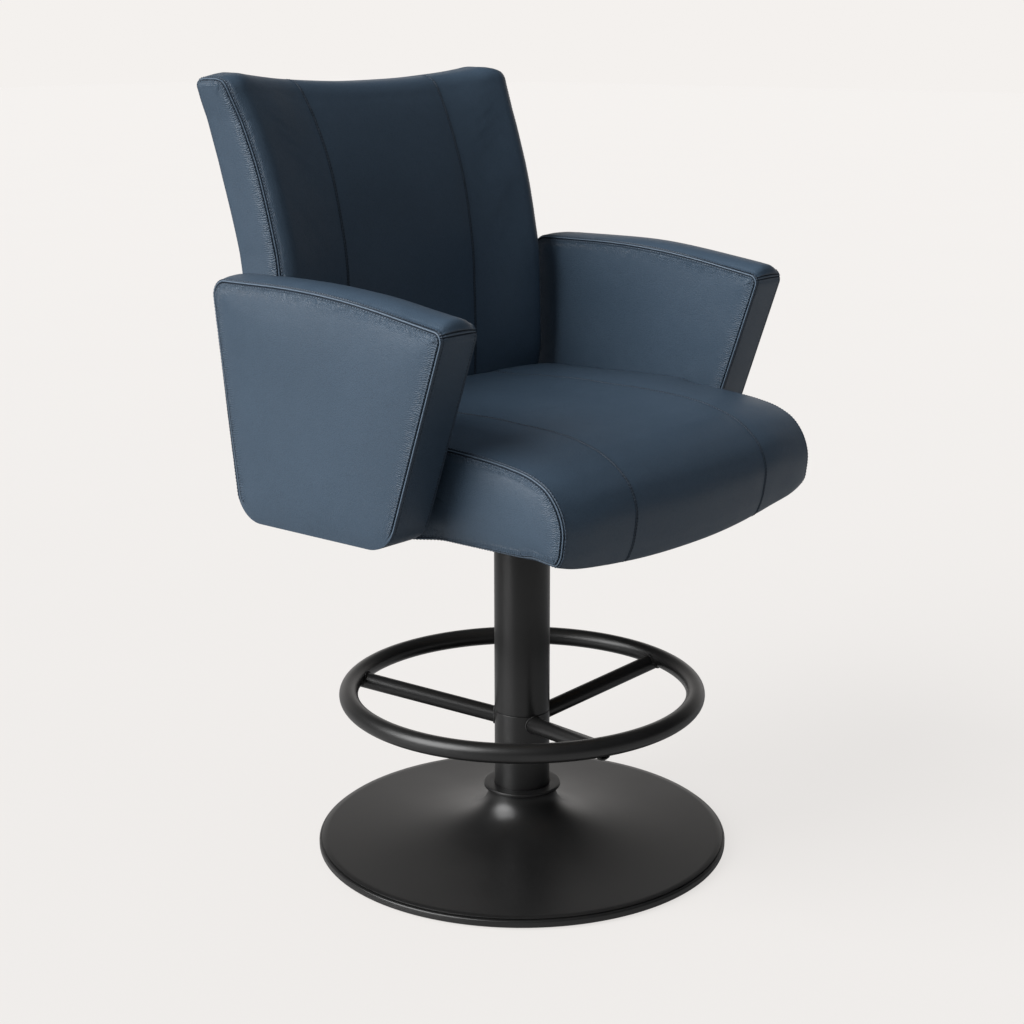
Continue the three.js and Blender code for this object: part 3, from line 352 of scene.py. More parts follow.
def steel_finish():
    material, wire, shader, place = start_finish("zinc_plated_steel", Metallic=1.0)
    height = place.node("ShaderNodeSeparateXYZ", None, {0: place}, 2)
    stretched = wire.node("ShaderNodeCombineXYZ", None, {2: height * LATHE_STRETCH})
    lathe_rings = noise(stretched, LATHE_SCALE, 2.0)
    stain = noise(place, STAIN_SCALE, 4.0)
    feed(
        shader,
        Base_Color=stain.between(ZINC_DARK, ZINC_LIGHT),
        Roughness=0.28 + 0.2 * stain + 0.08 * lathe_rings,
        Normal=bumped(lathe_rings, LATHE_DEPTH, 0.5),
    )
    return material


steel = steel_finish()
print("steel:", len(steel.node_tree.nodes), "nodes")

# %% Rubber
RUBBER_DARK = (0.014, 0.014, 0.014, 1.0)
RUBBER_LIGHT = (0.032, 0.031, 0.030, 1.0)
GRIT_SCALE = 1200.0
GRIT_DEPTH = 0.0002


def rubber_finish():
    material, wire, shader, place = start_finish("floor_rubber", Specular_IOR_Level=0.3)
    grit = noise(place, GRIT_SCALE, 3.0)
    feed(
        shader,
        Base_Color=grit.between(RUBBER_DARK, RUBBER_LIGHT),
        Roughness=0.75 + 0.15 * grit,
        Normal=bumped(grit, GRIT_DEPTH, 0.5),
    )
    return material


rubber = rubber_finish()
print("rubber:", len(rubber.node_tree.nodes), "nodes")

# %% Nylon
NYLON_DARK = (0.70, 0.67, 0.58, 1.0)
NYLON_LIGHT = (0.80, 0.77, 0.70, 1.0)
NYLON_SCALE = 90.0
NYLON_DEPTH = 0.0001


def nylon_finish():
    material, wire, shader, place = start_finish("natural_nylon")
    cloud = noise(place, NYLON_SCALE, 3.0)
    feed(
        shader,
        Base_Color=cloud.between(NYLON_DARK, NYLON_LIGHT),
        Roughness=0.42 + 0.12 * cloud,
        Normal=bumped(cloud, NYLON_DEPTH, 0.3),
    )
    return material


nylon = nylon_finish()
print("nylon:", len(nylon.node_tree.nodes), "nodes")

# %% [markdown]
# Plywood
#
# Plywood is a stack of veneers, so its edge has one stripe for each ply and its face has long grain. The
# stack lies across a different axis in the seat, the back and the arms, so one function makes three
# lay-ups.

# %% Plywood
VENEER_DARK = (0.37, 0.235, 0.12, 1.0)
VENEER_LIGHT = (0.60, 0.43, 0.26, 1.0)
VENEER_END = (0.22, 0.13, 0.06, 1.0)
PLY = 0.0013
PLY_WAVE_SCALE = 30.0
GRAIN_STRETCH = 0.12
LONG_GRAIN_SCALE = 420.0
LONG_GRAIN_DEPTH = 0.00015


def plywood_finish(name, stack):
    """stack is the axis, 0 to 2, that the plies are stacked along."""
    material, wire, shader, place = start_finish(name, Specular_IOR_Level=0.3)
    across = place.node("ShaderNodeSeparateXYZ", None, {0: place}, stack)
    wavy = across / PLY + 0.25 * noise(place, PLY_WAVE_SCALE)
    stripe = ((wavy * math.pi).math("SINE") * 2.0 + 0.5).clamped()
    squeeze = [1.0, 1.0, 1.0]
    squeeze[(stack + 1) % 3] = GRAIN_STRETCH
    squeezed = place.node("ShaderNodeVectorMath", {"operation": "MULTIPLY"}, {0: place, 1: squeeze})
    long_grain = noise(squeezed, LONG_GRAIN_SCALE, 4.0, 0.65)
    face = long_grain.between(VENEER_DARK, VENEER_LIGHT)
    feed(
        shader,
        Base_Color=(stripe * 0.35).between(face, VENEER_END),
        Roughness=0.68 + 0.2 * long_grain,
        Normal=bumped(long_grain + 0.6 * stripe, LONG_GRAIN_DEPTH, 0.6),
    )
    return material


seat_plywood = plywood_finish("seat_plywood", 2)
back_plywood = plywood_finish("back_plywood", 1)
arm_plywood = plywood_finish("arm_plywood", 0)
print("three lay-ups of plywood ready")

# %% [markdown]
# Finishes for the frame's own nodes
#
# Plates, brackets, boards, bolts and screws keep their shape. Each gets its finish, and the sheared edges
# of the plates and brackets get the small round that a real edge has: a Weld joins the loose triangles,
# and a Bevel rounds what is sharper than its limit.

# %% Dress the nodes that stay
FINISH_OF_SLOT = {
    "black_metal": powder_coat,
    "bare_steel": steel,
    "plywood": seat_plywood,
    "rubber": rubber,
    "bush_plastic": nylon,
    "seat_leather": leather,
}
PLATE_ROUND = 0.0008
HEAD_ROUND = 0.0004
BEVEL_ANGLE = math.radians(40)
WELD_REACH = 0.00002


def soften(node, width, segments):
    weld = node.modifiers.new("Weld", "WELD")
    weld.merge_threshold = WELD_REACH
    bevel = node.modifiers.new("Bevel", "BEVEL")
    bevel.width = width
    bevel.segments = segments
    bevel.limit_method = "ANGLE"
    bevel.angle_limit = BEVEL_ANGLE


slot_of_node = {row["node"]: row["material_slot"] for row in frame["record"]["subparts"]}
for name, node in frame["nodes"].items():
    finish = FINISH_OF_SLOT[slot_of_node[name]]
    if name == "back_board":
        finish = back_plywood
    if name.startswith("arm_board"):
        finish = arm_plywood
    if not node.material_slots:
        node.data.materials.append(finish)
    for held in node.material_slots:
        held.material = finish
    if "bracket" in name or name == "seat_plate":
        soften(node, PLATE_ROUND, 2)
    if "bolt" in name or "screw" in name:
        soften(node, HEAD_ROUND, 1)
print(len(frame["nodes"]), "nodes have a finish")

# %% [markdown]
# Turned pieces
#
# The base plate, its cover, the collar, the tubes and the spindle's hub are round, and a camera this close
# would see the flats of a coarse circle. Each is a profile of radius and height swept about the column's
# axis in fine steps. A corner of the profile is an arc, because a real turned or pressed edge is never
# sharp.


# %% Sweep a profile about the column
TURNED_SIDES = 192
SHARP_ANGLE = math.radians(50)


def add_piece(name, points, faces, finish):
    mesh = bpy.data.meshes.new(name)
    mesh.from_pydata([tuple(p) for p in points], [], [tuple(f) for f in faces])
    mesh.shade_smooth()
    mesh.set_sharp_from_angle(angle=SHARP_ANGLE)
    mesh.materials.append(finish)
    piece = bpy.data.objects.new(name, mesh)
    bpy.context.scene.collection.objects.link(piece)
    return piece


def turned(name, profile, finish, sides=TURNED_SIDES):
    """A closed profile of (radius, height) points, counter-clockwise with the axis on its left."""
    profile = np.array(profile)
    turns = np.arange(sides) / sides * 2.0 * math.pi
    ring = np.stack([np.cos(turns), np.sin(turns)], 1)
    points = [(*(ring[i] * r), z) for i in range(sides) for r, z in profile]
    count = len(profile)
    faces = []
    for i in range(sides):
        ahead = (i + 1) % sides
        for k in range(count):
            after = (k + 1) % count
            faces.append((i * count + k, ahead * count + k, ahead * count + after, i * count + after))
    return add_piece(name, points, faces, finish)


def eased(corners, arc_steps=5):
    """Rounds the corners of a closed profile. Each corner is (radius, height, size of its round)."""
    points = []
    for i, (x, y, size) in enumerate(corners):
        here = Vector((x, y))
        back = Vector(corners[i - 1][:2]) - here
        ahead = Vector(corners[(i + 1) % len(corners)][:2]) - here
        if size == 0:
            points.append((x, y))
            continue
        start = here + back.normalized() * size
        end = here + ahead.normalized() * size
        for step in range(arc_steps + 1):
            share = step / arc_steps
            along = (1 - share) ** 2 * start + 2 * share * (1 - share) * here + share**2 * end
            points.append(tuple(along))
    return points


print("turning ready, with", TURNED_SIDES, "sides")

# %% [markdown]
# The base
#
# A heavy plate carries a thin spun cover that flares like a trumpet's bell up to a collar at the column.
# The flare is one cubic curve. It ends just inside the plate's edge, and the narrow step between them is
# the fine line that runs round the rim.

# %% Base plate, cover and collar
BASE_RADIUS = 0.2794
PAD_THICKNESS = 0.002
FIT_GAP = 0.0003
PLATE_THICKNESS = 0.010
PLATE_EDGE = 0.003
COVER_INSET = 0.0016
COVER_WALL = 0.002
NECK_TOP = 0.079
NECK_RADIUS = 0.0455
COLLAR_RADIUS = 0.0525
COLLAR_THICKNESS = 0.0047
COLLAR_EDGE = 0.0014
COLLAR_FOOT_EDGE = 0.0003
COLLAR_MOUTH_EDGE = 0.0005
COLUMN_RADIUS = 0.0375
COLUMN_WALL = 0.003
HOLE_RADIUS = 0.0064
PLATE_ARC_STEPS = 8
RIM_SHARES = ((-1, 0), (0, 0), (0.35, 0.3), (0.4, 0.65))
FLARE_STEPS = 56
INSIDE_STRIDE = 4
FLARE_RIM_SHARE = 0.62
FLARE_RIM_LIFT_SHARE = 0.08
FLARE_NECK_SHARE = 0.82

plate_under = PAD_THICKNESS + FIT_GAP
plate_top = plate_under + PLATE_THICKNESS
cover_under = plate_top + FIT_GAP
rim_radius = BASE_RADIUS - PLATE_EDGE - COVER_INSET
rim_top = cover_under + COVER_WALL


def flare(share):
    """Place and direction on the cover's outside, from the rim to the neck."""
    reach = rim_radius - NECK_RADIUS
    rise = NECK_TOP - rim_top
    a = Vector((rim_radius, rim_top))
    b = Vector((rim_radius - FLARE_RIM_SHARE * reach, rim_top + FLARE_RIM_LIFT_SHARE * rise))
    c = Vector((NECK_RADIUS, NECK_TOP - FLARE_NECK_SHARE * rise))
    d = Vector((NECK_RADIUS, NECK_TOP))
    u = 1 - share
    point = u**3 * a + 3 * u * u * share * b + 3 * u * share**2 * c + share**3 * d
    along = 3 * (u * u * (b - a) + 2 * u * share * (c - b) + share**2 * (d - c))
    return point, along.normalized()


plate = eased(
    [
        (HOLE_RADIUS, plate_under, 0),
        (BASE_RADIUS, plate_under, PLATE_EDGE),
        (BASE_RADIUS, plate_top, PLATE_EDGE),
        (HOLE_RADIUS, plate_top, 0),
    ],
    PLATE_ARC_STEPS,
)
base_plate = turned("base_plate_turned", plate, powder_coat)
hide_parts("base_plate")

outside = [tuple(flare(i / FLARE_STEPS)[0]) for i in range(FLARE_STEPS + 1)]
inside = []
for i in range(FLARE_STEPS, -1, -INSIDE_STRIDE):
    point, along = flare(i / FLARE_STEPS)
    inside.append((point.x - COVER_WALL * along.y, point.y + COVER_WALL * along.x))
rim = [(rim_radius + out * COVER_WALL, cover_under + up * COVER_WALL) for out, up in RIM_SHARES]
base_cover = turned("base_cover_spun", rim + outside + inside[:-1], powder_coat)
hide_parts("base_cover")

collar_under = NECK_TOP + FIT_GAP
collar_top = collar_under + COLLAR_THICKNESS
collar = eased(
    [
        (COLUMN_RADIUS + FIT_GAP, collar_under, COLLAR_FOOT_EDGE),
        (COLLAR_RADIUS, collar_under, COLLAR_EDGE),
        (COLLAR_RADIUS, collar_top, COLLAR_EDGE),
        (COLUMN_RADIUS + FIT_GAP, collar_top, COLLAR_MOUTH_EDGE),
    ]
)
base_collar = turned("base_collar_turned", collar, powder_coat)
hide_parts("base_collar")
for piece in (base_plate, base_cover, base_collar):
    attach(piece, "base")
print("base from", plate_under, "to", round(collar_top, 4))

# %% [markdown]
# The column
#
# The column is two lengths of tube. The lower one is the foot ring's sleeve. They meet in a dark joint
# line just above the spokes, where each tube's end is eased. The cap closes the top.

# %% Column tubes and cap
COLUMN_EDGE = 0.0009
SLEEVE_TOP = 0.190
COLUMN_TOP = 0.448
BEARING_BORE = 0.0219


def tube_profile(radius, bore, bottom, top, edge):
    """A tube's wall, eased more outside than in the bore."""
    inner = edge / 3
    return eased([(bore, bottom, inner), (radius, bottom, edge), (radius, top, edge), (bore, top, inner)])


core_bore = COLUMN_RADIUS - COLUMN_WALL
cap_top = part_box("column_cap")[1].z
column_lengths = (
    ("sleeve_tube", "footring_sleeve", core_bore, cover_under, SLEEVE_TOP),
    ("upper_tube", "column_tube", core_bore, SLEEVE_TOP + FIT_GAP, COLUMN_TOP),
    ("cap_flange", "column_cap", BEARING_BORE, COLUMN_TOP + FIT_GAP, cap_top),
)
for name, node, bore, bottom, top in column_lengths:
    piece = turned(name, tube_profile(COLUMN_RADIUS, bore, bottom, top, COLUMN_EDGE), powder_coat)
    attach(piece, "base")
    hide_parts(node)
print("column to", COLUMN_TOP, "and its cap to", round(cap_top, 4))

# %% [markdown]
# Races and spindle
#
# Above the cap lies a thrust bearing, a cage of balls between two ground rings, and the spindle's hub
# rests on it. They show from behind and below, between the column and the seat. Their heights are read
# from the frame's nodes.

# %% Races and spindle
HUB_RADIUS = 0.033
SPINDLE_RADIUS = 0.015
SPINDLE_EDGE = 0.0015
SPINDLE_TIP_EDGE = 0.0005
SPINDLE_SIDES = 96
AXIS_GAP = 0.0005
RACE_RADIUS = 0.028
RACE_BORE = 0.0153
RACE_EDGE = 0.0004

for race, body in (("lower_race", "base"), ("upper_race", "seat")):
    low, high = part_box(race)
    ring = turned(race + "_ground", tube_profile(RACE_RADIUS, RACE_BORE, low.z, high.z, RACE_EDGE), steel)
    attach(ring, body)
    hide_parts(race)

spindle_low, spindle_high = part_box("spindle")
hub_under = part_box("upper_race")[1].z + FIT_GAP
hub_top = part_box("seat_plate")[0].z - FIT_GAP
shaft = [
    (AXIS_GAP, spindle_low.z, 0),
    (SPINDLE_RADIUS, spindle_low.z, SPINDLE_EDGE),
    (SPINDLE_RADIUS, hub_under, 0),
    (HUB_RADIUS, hub_under, SPINDLE_EDGE),
    (HUB_RADIUS, hub_top, SPINDLE_EDGE / 2),
    (SPINDLE_RADIUS, hub_top, 0),
    (SPINDLE_RADIUS, spindle_high.z, SPINDLE_TIP_EDGE),
    (AXIS_GAP, spindle_high.z, 0),
]
spindle = turned("spindle_turned", eased(shaft), steel, SPINDLE_SIDES)
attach(spindle, "seat")
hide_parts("spindle")
print("hub from", round(hub_under, 4), "to", round(hub_top, 4))

# %% [markdown]
# Geometry Nodes helpers
#
# What repeats or follows a path comes from Geometry Nodes: the hoop, the weld beads and the stitches. A
# tree is built in the script with named inputs, so its sizes can be changed without opening it. Inputs are
# set by their identifier, the result is copied into a plain mesh, and the modifier goes, so that what is
# left is an ordinary piece.


# %% Build and run a tree
def new_tree(name, inputs):
    """A geometry tree with number inputs. Returns it, a wire for each input, and their identifiers."""
    tree = bpy.data.node_groups.new(name, "GeometryNodeTree")
    tree.interface.new_socket("Geometry", in_out="INPUT", socket_type="NodeSocketGeometry")
    identifiers = {}
    for label, value in inputs.items():
        kind = "NodeSocketInt" if isinstance(value, int) else "NodeSocketFloat"
        socket = tree.interface.new_socket(label, in_out="INPUT", socket_type=kind)
        socket.default_value = value
        identifiers[label] = socket.identifier
    tree.interface.new_socket("Geometry", in_out="OUTPUT", socket_type="NodeSocketGeometry")
    entry = tree.nodes.new("NodeGroupInput")
    wires = {socket.name: Wire(tree, socket) for socket in entry.outputs if socket.name}
    return tree, wires, identifiers


def end_tree(tree, geometry, finish):
    solid = geometry.node("GeometryNodeRealizeInstances", None, {"Geometry": geometry})
    smooth = solid.node("GeometryNodeSetShadeSmooth", None, {"Geometry": solid})
    painted = smooth.node("GeometryNodeSetMaterial", None, {"Geometry": smooth, "Material": finish})
    leave = tree.nodes.new("NodeGroupOutput")
    tree.links.new(painted.socket, leave.inputs[0])


def grow(name, mesh, tree, identifiers, values, finish):
    """Runs a tree on a mesh and keeps the result as a plain piece."""
    seedling = bpy.data.objects.new(name + "_path", mesh)
    bpy.context.scene.collection.objects.link(seedling)
    modifier = seedling.modifiers.new("Build", "NODES")
    modifier.node_group = tree
    for label, value in values.items():
        modifier[identifiers[label]] = value
    graph = bpy.context.evaluated_depsgraph_get()
    plain = bpy.data.meshes.new_from_object(seedling.evaluated_get(graph))
    seedling.modifiers.remove(modifier)
    bpy.data.objects.remove(seedling)
    plain.name = name
    plain.materials.clear()
    plain.materials.append(finish)
    piece = bpy.data.objects.new(name, plain)
    bpy.context.scene.collection.objects.link(piece)
    return piece


print("tree helpers ready")

# %% [markdown]
# The foot ring's hoop
#
# The hoop is one tube bent into a circle, a shape that follows a rule, so Geometry Nodes sweep a small
# circle along a large one. Changing its sizes on the tree's inputs would give any other hoop.

# %% Hoop
RING_DIAMETER = 0.495
RING_TUBE = 0.0254
RING_HEIGHT = 0.217
RING_STEPS = 256
RING_SIDES = 40
ring_radius = (RING_DIAMETER - RING_TUBE) / 2

hoop_tree, hoop_in, hoop_ids = new_tree("bent_hoop", {"Radius": 0.2, "Tube": 0.02, "Height": 0.2})
big = hoop_in["Radius"].node("GeometryNodeCurvePrimitiveCircle", None, {"Resolution": RING_STEPS})
hoop_tree.links.new(hoop_in["Radius"].socket, big.socket.node.inputs["Radius"])
small = hoop_in["Tube"].node("GeometryNodeCurvePrimitiveCircle", None, {"Resolution": RING_SIDES})
hoop_tree.links.new((hoop_in["Tube"] * 0.5).socket, small.socket.node.inputs["Radius"])
swept = big.node("GeometryNodeCurveToMesh", None, {"Curve": big, "Profile Curve": small})
lift = hoop_in["Height"].node("ShaderNodeCombineXYZ", None, {2: hoop_in["Height"]})
raised = swept.node("GeometryNodeTransform", None, {"Geometry": swept, "Translation": lift})
end_tree(hoop_tree, raised, powder_coat)
hoop_values = {"Radius": ring_radius, "Tube": RING_TUBE, "Height": RING_HEIGHT}
hoop = grow("foot_hoop", bpy.data.meshes.new("start"), hoop_tree, hoop_ids, hoop_values, powder_coat)
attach(hoop, "base")
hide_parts("footring_hoop")
print("hoop:", len(hoop.data.polygons), "faces")

# %% [markdown]
# Spokes
#
# Three tubes rise a little from the sleeve to the hoop. Their ends are coped: cut to the curve of what
# they meet. Each end's curve is found by walking along the tube until the surface of the sleeve or of the
# hoop is reached, and the same curves then carry the weld beads.


# %% Coped spokes
SPOKE_RADIUS = 0.011
SPOKE_HUB_HEIGHT = 0.177
SPOKE_RING_DROP = 0.005
SPOKE_ANGLES = (115.0, 245.0, -15.0)
SPOKE_SIDES = 48
SPOKE_RUNS = 6
COPE_SINK = 0.0004
SLEEVE_SEARCH = (-0.03, 0.05)
HALVINGS = 40


def off_sleeve(point):
    return math.hypot(point.x, point.y) - COLUMN_RADIUS


def off_hoop(point):
    return math.hypot(math.hypot(point.x, point.y) - ring_radius, point.z - RING_HEIGHT) - RING_TUBE / 2


def meeting(start, step, distance_to, low, high):
    """The place along a line where a signed distance changes sign, by halving."""
    rising = distance_to(start + step * high) > distance_to(start + step * low)
    for _ in range(HALVINGS):
        middle = (low + high) / 2
        if (distance_to(start + step * middle) > 0) == rising:
            high = middle
        else:
            low = middle
    return (low + high) / 2


def coped_ends(angle):
    """A spoke's axis, as a place and a direction, and the closed curves where it meets sleeve and hoop."""
    turn = math.radians(angle)
    outward = Vector((math.cos(turn), math.sin(turn), 0))
    sideways = Vector((-math.sin(turn), math.cos(turn), 0))
    foot = outward * core_bore + Vector((0, 0, SPOKE_HUB_HEIGHT))
    tip = outward * ring_radius + Vector((0, 0, RING_HEIGHT - SPOKE_RING_DROP))
    run = (tip - foot).normalized()
    upward = run.cross(sideways) * -1
    length = (tip - foot).length
    inner, outer = [], []
    for i in range(SPOKE_SIDES):
        around = 2 * math.pi * i / SPOKE_SIDES
        start = foot + SPOKE_RADIUS * (math.cos(around) * sideways + math.sin(around) * upward)
        inner.append(start + run * meeting(start, run, off_sleeve, *SLEEVE_SEARCH))
        outer.append(start + run * meeting(start, run, off_hoop, length / 2, length))
    return foot, run, inner, outer


def spoke_mesh(run, inner, outer):
    """Rings from one coped end to the other. Both ends sink a little into what they are welded to."""
    points = []
    for k in range(SPOKE_RUNS + 1):
        share = k / SPOKE_RUNS
        sink = COPE_SINK if k == SPOKE_RUNS else -COPE_SINK if k == 0 else 0
        points += [a.lerp(b, share) + run * sink for a, b in zip(inner, outer)]
    faces = []
    for k in range(SPOKE_RUNS):
        for i in range(SPOKE_SIDES):
            j = (i + 1) % SPOKE_SIDES
            a, b = k * SPOKE_SIDES, (k + 1) * SPOKE_SIDES
            faces.append((a + i, a + j, b + j, b + i))
    faces.append(tuple(reversed(range(SPOKE_SIDES))))
    faces.append(tuple(SPOKE_RUNS * SPOKE_SIDES + i for i in range(SPOKE_SIDES)))
    return points, faces


bead_paths = []
for number, angle in enumerate(SPOKE_ANGLES, 1):
    foot, run, inner, outer = coped_ends(angle)
    points, faces = spoke_mesh(run, inner, outer)
    spoke = add_piece("spoke_%d" % number, points, faces, powder_coat)
    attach(spoke, "base")
    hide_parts("footring_spoke_%d" % number)
    for end, away_from_weld in ((inner, run), (outer, run * -1)):
        off_axis = [(p - foot).cross(run).cross(run) * -1 for p in end]
        bead_paths.append((end, off_axis, away_from_weld))
print("spokes:", len(SPOKE_ANGLES), "with", len(bead_paths), "coped ends")

# %% [markdown]
# Weld beads
#
# A weld is a row of overlapping drops of metal, and under powder coat it stays visible as a soft ripple.
# Geometry Nodes place a flattened ball at every step along each coped end, leaning halfway between the
# spoke and the tube that it meets. The same kind of tree will lay the stitches.


# %% A tree that lays small solids along a path
BALL_SIDES = 5
BALL_RINGS = 4


def row_tree(name, finish):
    """Small balls, stretched along the path and pressed flat, one at each step, uneven in length."""
    inputs = {"Pitch": 0.004, "Length": 0.003, "Width": 0.0007, "Height": 0.0005, "Uneven": 0.06, "Seed": 1}
    tree, into, ids = new_tree(name, inputs)
    curve = into["Geometry"].node("GeometryNodeMeshToCurve", None, {"Mesh": into["Geometry"]})
    spaced = {"Curve": curve, "Length": into["Pitch"]}
    steps = curve.node("GeometryNodeResampleCurve", {"mode": "LENGTH"}, spaced)
    tangent = curve.node("GeometryNodeInputTangent")
    up = curve.node("GeometryNodeInputNamedAttribute", {"data_type": "FLOAT_VECTOR"}, {"Name": "up"})
    axes = {"primary_axis": "Z", "secondary_axis": "X"}
    turn = up.node("FunctionNodeAxesToRotation", axes, {"Primary Axis": up, "Secondary Axis": tangent})
    ball_sizes = {"Segments": BALL_SIDES, "Rings": BALL_RINGS, "Radius": 1.0}
    ball = curve.node("GeometryNodeMeshUVSphere", None, ball_sizes)
    low = 1.0 - into["Uneven"]
    high = 1.0 + into["Uneven"]
    share = low.node("FunctionNodeRandomValue", {"data_type": "FLOAT"}, {"Seed": into["Seed"]}, 1)
    tree.links.new(low.socket, share.socket.node.inputs[2])
    tree.links.new(high.socket, share.socket.node.inputs[3])
    sizes = {0: into["Length"] * 0.5 * share, 1: into["Width"] * 0.5, 2: into["Height"] * 0.5}
    scale = curve.node("ShaderNodeCombineXYZ", None, sizes)
    placed = {"Points": steps, "Instance": ball, "Rotation": turn, "Scale": scale}
    end_tree(tree, curve.node("GeometryNodeInstanceOnPoints", None, placed), finish)
    return tree, ids


def path_mesh(name, rows, closed_rows):
    """Polylines as one mesh of edges, with the direction away from the surface kept at each point."""
    mesh = bpy.data.meshes.new(name)
    points, ups, edges = [], [], []
    for row, normals in rows:
        first = len(points)
        points += [tuple(p) for p in row]
        ups += [tuple(n) for n in normals]
        edges += [(first + i, first + i + 1) for i in range(len(row) - 1)]
        if closed_rows:
            edges.append((first + len(row) - 1, first))
    mesh.from_pydata(points, edges, [])
    stored = mesh.attributes.new("up", "FLOAT_VECTOR", "POINT")
    stored.data.foreach_set("vector", np.array(ups, dtype=np.float32).ravel())
    return mesh


bead_tree, bead_ids = row_tree("weld_bead", powder_coat)
bead_rows = []
for points, off_axis, away in bead_paths:
    ups = [(a.normalized() - away.normalized()).normalized() for a in off_axis]
    bead_rows.append((points, ups))
bead_sizes = {"Pitch": 0.0017, "Length": 0.0034, "Width": 0.0052, "Height": 0.0032}
bead_values = {**bead_sizes, "Uneven": 0.12, "Seed": 7}
bead_mesh = path_mesh("bead_paths", bead_rows, True)
beads = grow("weld_beads", bead_mesh, bead_tree, bead_ids, bead_values, powder_coat)
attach(beads, "base")
print("weld beads:", len(beads.data.polygons), "faces")

# %% [markdown]
# How a cover is laid out
#
# Each padded piece is skinned from sections. A section is the pad's outline seen from the side, at one
# place across the stool, and the sections run from one side to the other. Where the wide panel meets the
# side gusset the cover is sewn, so sections crowd together there: about one for every half millimetre over
# the groove and the rolled edges. Distance from the seam is measured along the cover, above zero on the
# panel and below it on the gusset.


# %% Places of the sections
def mm(*values):
    return [value * 0.001 for value in values]


FINE_STEPS = mm(0, 0.45, 0.9, 1.3, 1.7, 2.1, 2.6, 3.1, 3.7, 4.5, 5.5, 7.0)
FINE_OFFSETS = [step * sign for step in FINE_STEPS for sign in (1, -1)]
GUSSET_INSET = 0.009
GUSSET_SHARES = (0.97, 0.94, 0.90, 0.86, 0.81, 0.75, 0.68, 0.60, 0.51, 0.41, 0.30, 0.2, 0.1, 0.02)
LEAST_STEP = 0.0005
CROWDED_SHARE = 0.45


def fold(distance, radius):
    """How far in from the side, and how far inside the outline, a point at this distance lies."""
    quarter = radius * math.pi / 4
    if distance >= quarter:
        return radius + distance - quarter, 0.0
    if distance <= -quarter:
        return 0.0, radius - distance - quarter
    turn = math.pi / 4 + distance / radius
    return radius * (1 - math.cos(turn)), radius * (1 - math.sin(turn))


def section_distances(half, radius, spacing, panel_seams):
    """Distances from the corner seam, falling from the middle of the panel to just inside the gusset."""
    middle = half - radius + radius * math.pi / 4
    lowest = radius - radius * math.pi / 4 - GUSSET_INSET
    close = list(FINE_OFFSETS)
    for seam in panel_seams:
        close += [middle - seam + offset for offset in FINE_OFFSETS]
    close = [d for d in close if lowest < d < middle - LEAST_STEP]
    count = round(middle / spacing)
    even = [middle * (1 - i / count) for i in range(count + 1)]
    kept = [d for d in even if min(abs(d - c) for c in close) > spacing * CROWDED_SHARE]
    return sorted(set(round(d, 6) for d in close + kept + [middle, lowest]), reverse=True)


print("a fold of 5 mm, 3 mm past the seam:", fold(-0.003, 0.005))

# %% [markdown]
# Smooth outlines
#
# A section's outline is drawn with a few points. A chord-length Catmull-Rom curve through them gives the
# cover's round, without the overshoot that an even spacing of the parameter would bring. A listed corner
# keeps its angle.


# %% Curves through a few points
def flowing(rows, counts, corners):
    """The same sections, each an array of (y, z) points, with this many steps in each stretch."""
    following = np.roll(rows, -1, axis=1)
    before = np.roll(rows, 1, axis=1)
    ahead = following - rows
    behind = rows - before
    length_ahead = np.linalg.norm(ahead, axis=2, keepdims=True)
    length_behind = np.linalg.norm(behind, axis=2, keepdims=True)
    slope_ahead = ahead / length_ahead
    slope_behind = behind / length_behind
    blend = (slope_ahead * length_behind + slope_behind * length_ahead) / (length_ahead + length_behind)
    leaving = blend.copy()
    arriving = blend.copy()
    for corner in corners:
        leaving[:, corner] = slope_ahead[:, corner]
        arriving[:, corner] = slope_behind[:, corner]
    pieces = []
    for i in range(rows.shape[1]):
        j = (i + 1) % rows.shape[1]
        start, end = rows[:, i], rows[:, j]
        reach = length_ahead[:, i]
        for t in np.arange(counts[i]) / counts[i]:
            pieces.append(
                (2 * t**3 - 3 * t**2 + 1) * start
                + (t**3 - 2 * t**2 + t) * reach * leaving[:, i]
                + (3 * t**2 - 2 * t**3) * end
                + (t**3 - t**2) * reach * arriving[:, j]
            )
    return np.stack(pieces, axis=1)


def outline_normals(rows):
    """Unit directions out of closed outlines that run counter-clockwise seen from +X."""
    run = np.roll(rows, -1, axis=1) - np.roll(rows, 1, axis=1)
    normal = np.stack([run[..., 1], -run[..., 0]], axis=2)
    return normal / np.linalg.norm(normal, axis=2, keepdims=True)


def smooth_step(value):
    value = np.clip(value, 0.0, 1.0)
    return value * value * (3 - 2 * value)


def read_shares(table, place):
    table = np.array(table)
    return np.interp(place, table[:, 0], table[:, 1])


print("curves ready")

# %% [markdown]
# Skinning a pad
#
# The sections and the inset rings of both gussets make one grid, closed at each end. Beside its points,
# the grid keeps what the seams need: how far each point lies from the corner seam, and how far along the
# outline.


# %% Skin
SWELL_POWER = 2.2
FLAT_GUSSET_SHARE = 0.35
LINE_ROWS = 24


def depth_inside(points, edge):
    """How deep flat points lie inside a closed edge. All of it counts, so that no crease forms."""
    ahead = np.roll(edge, -1, axis=0) - edge
    length = np.linalg.norm(ahead, axis=1)
    middle = edge + ahead / 2
    away = np.linalg.norm(points[:, None] - middle[None], axis=2)
    return (length / np.maximum(away, 1e-6) ** 3).sum(axis=1) ** -0.5 * math.sqrt(2)


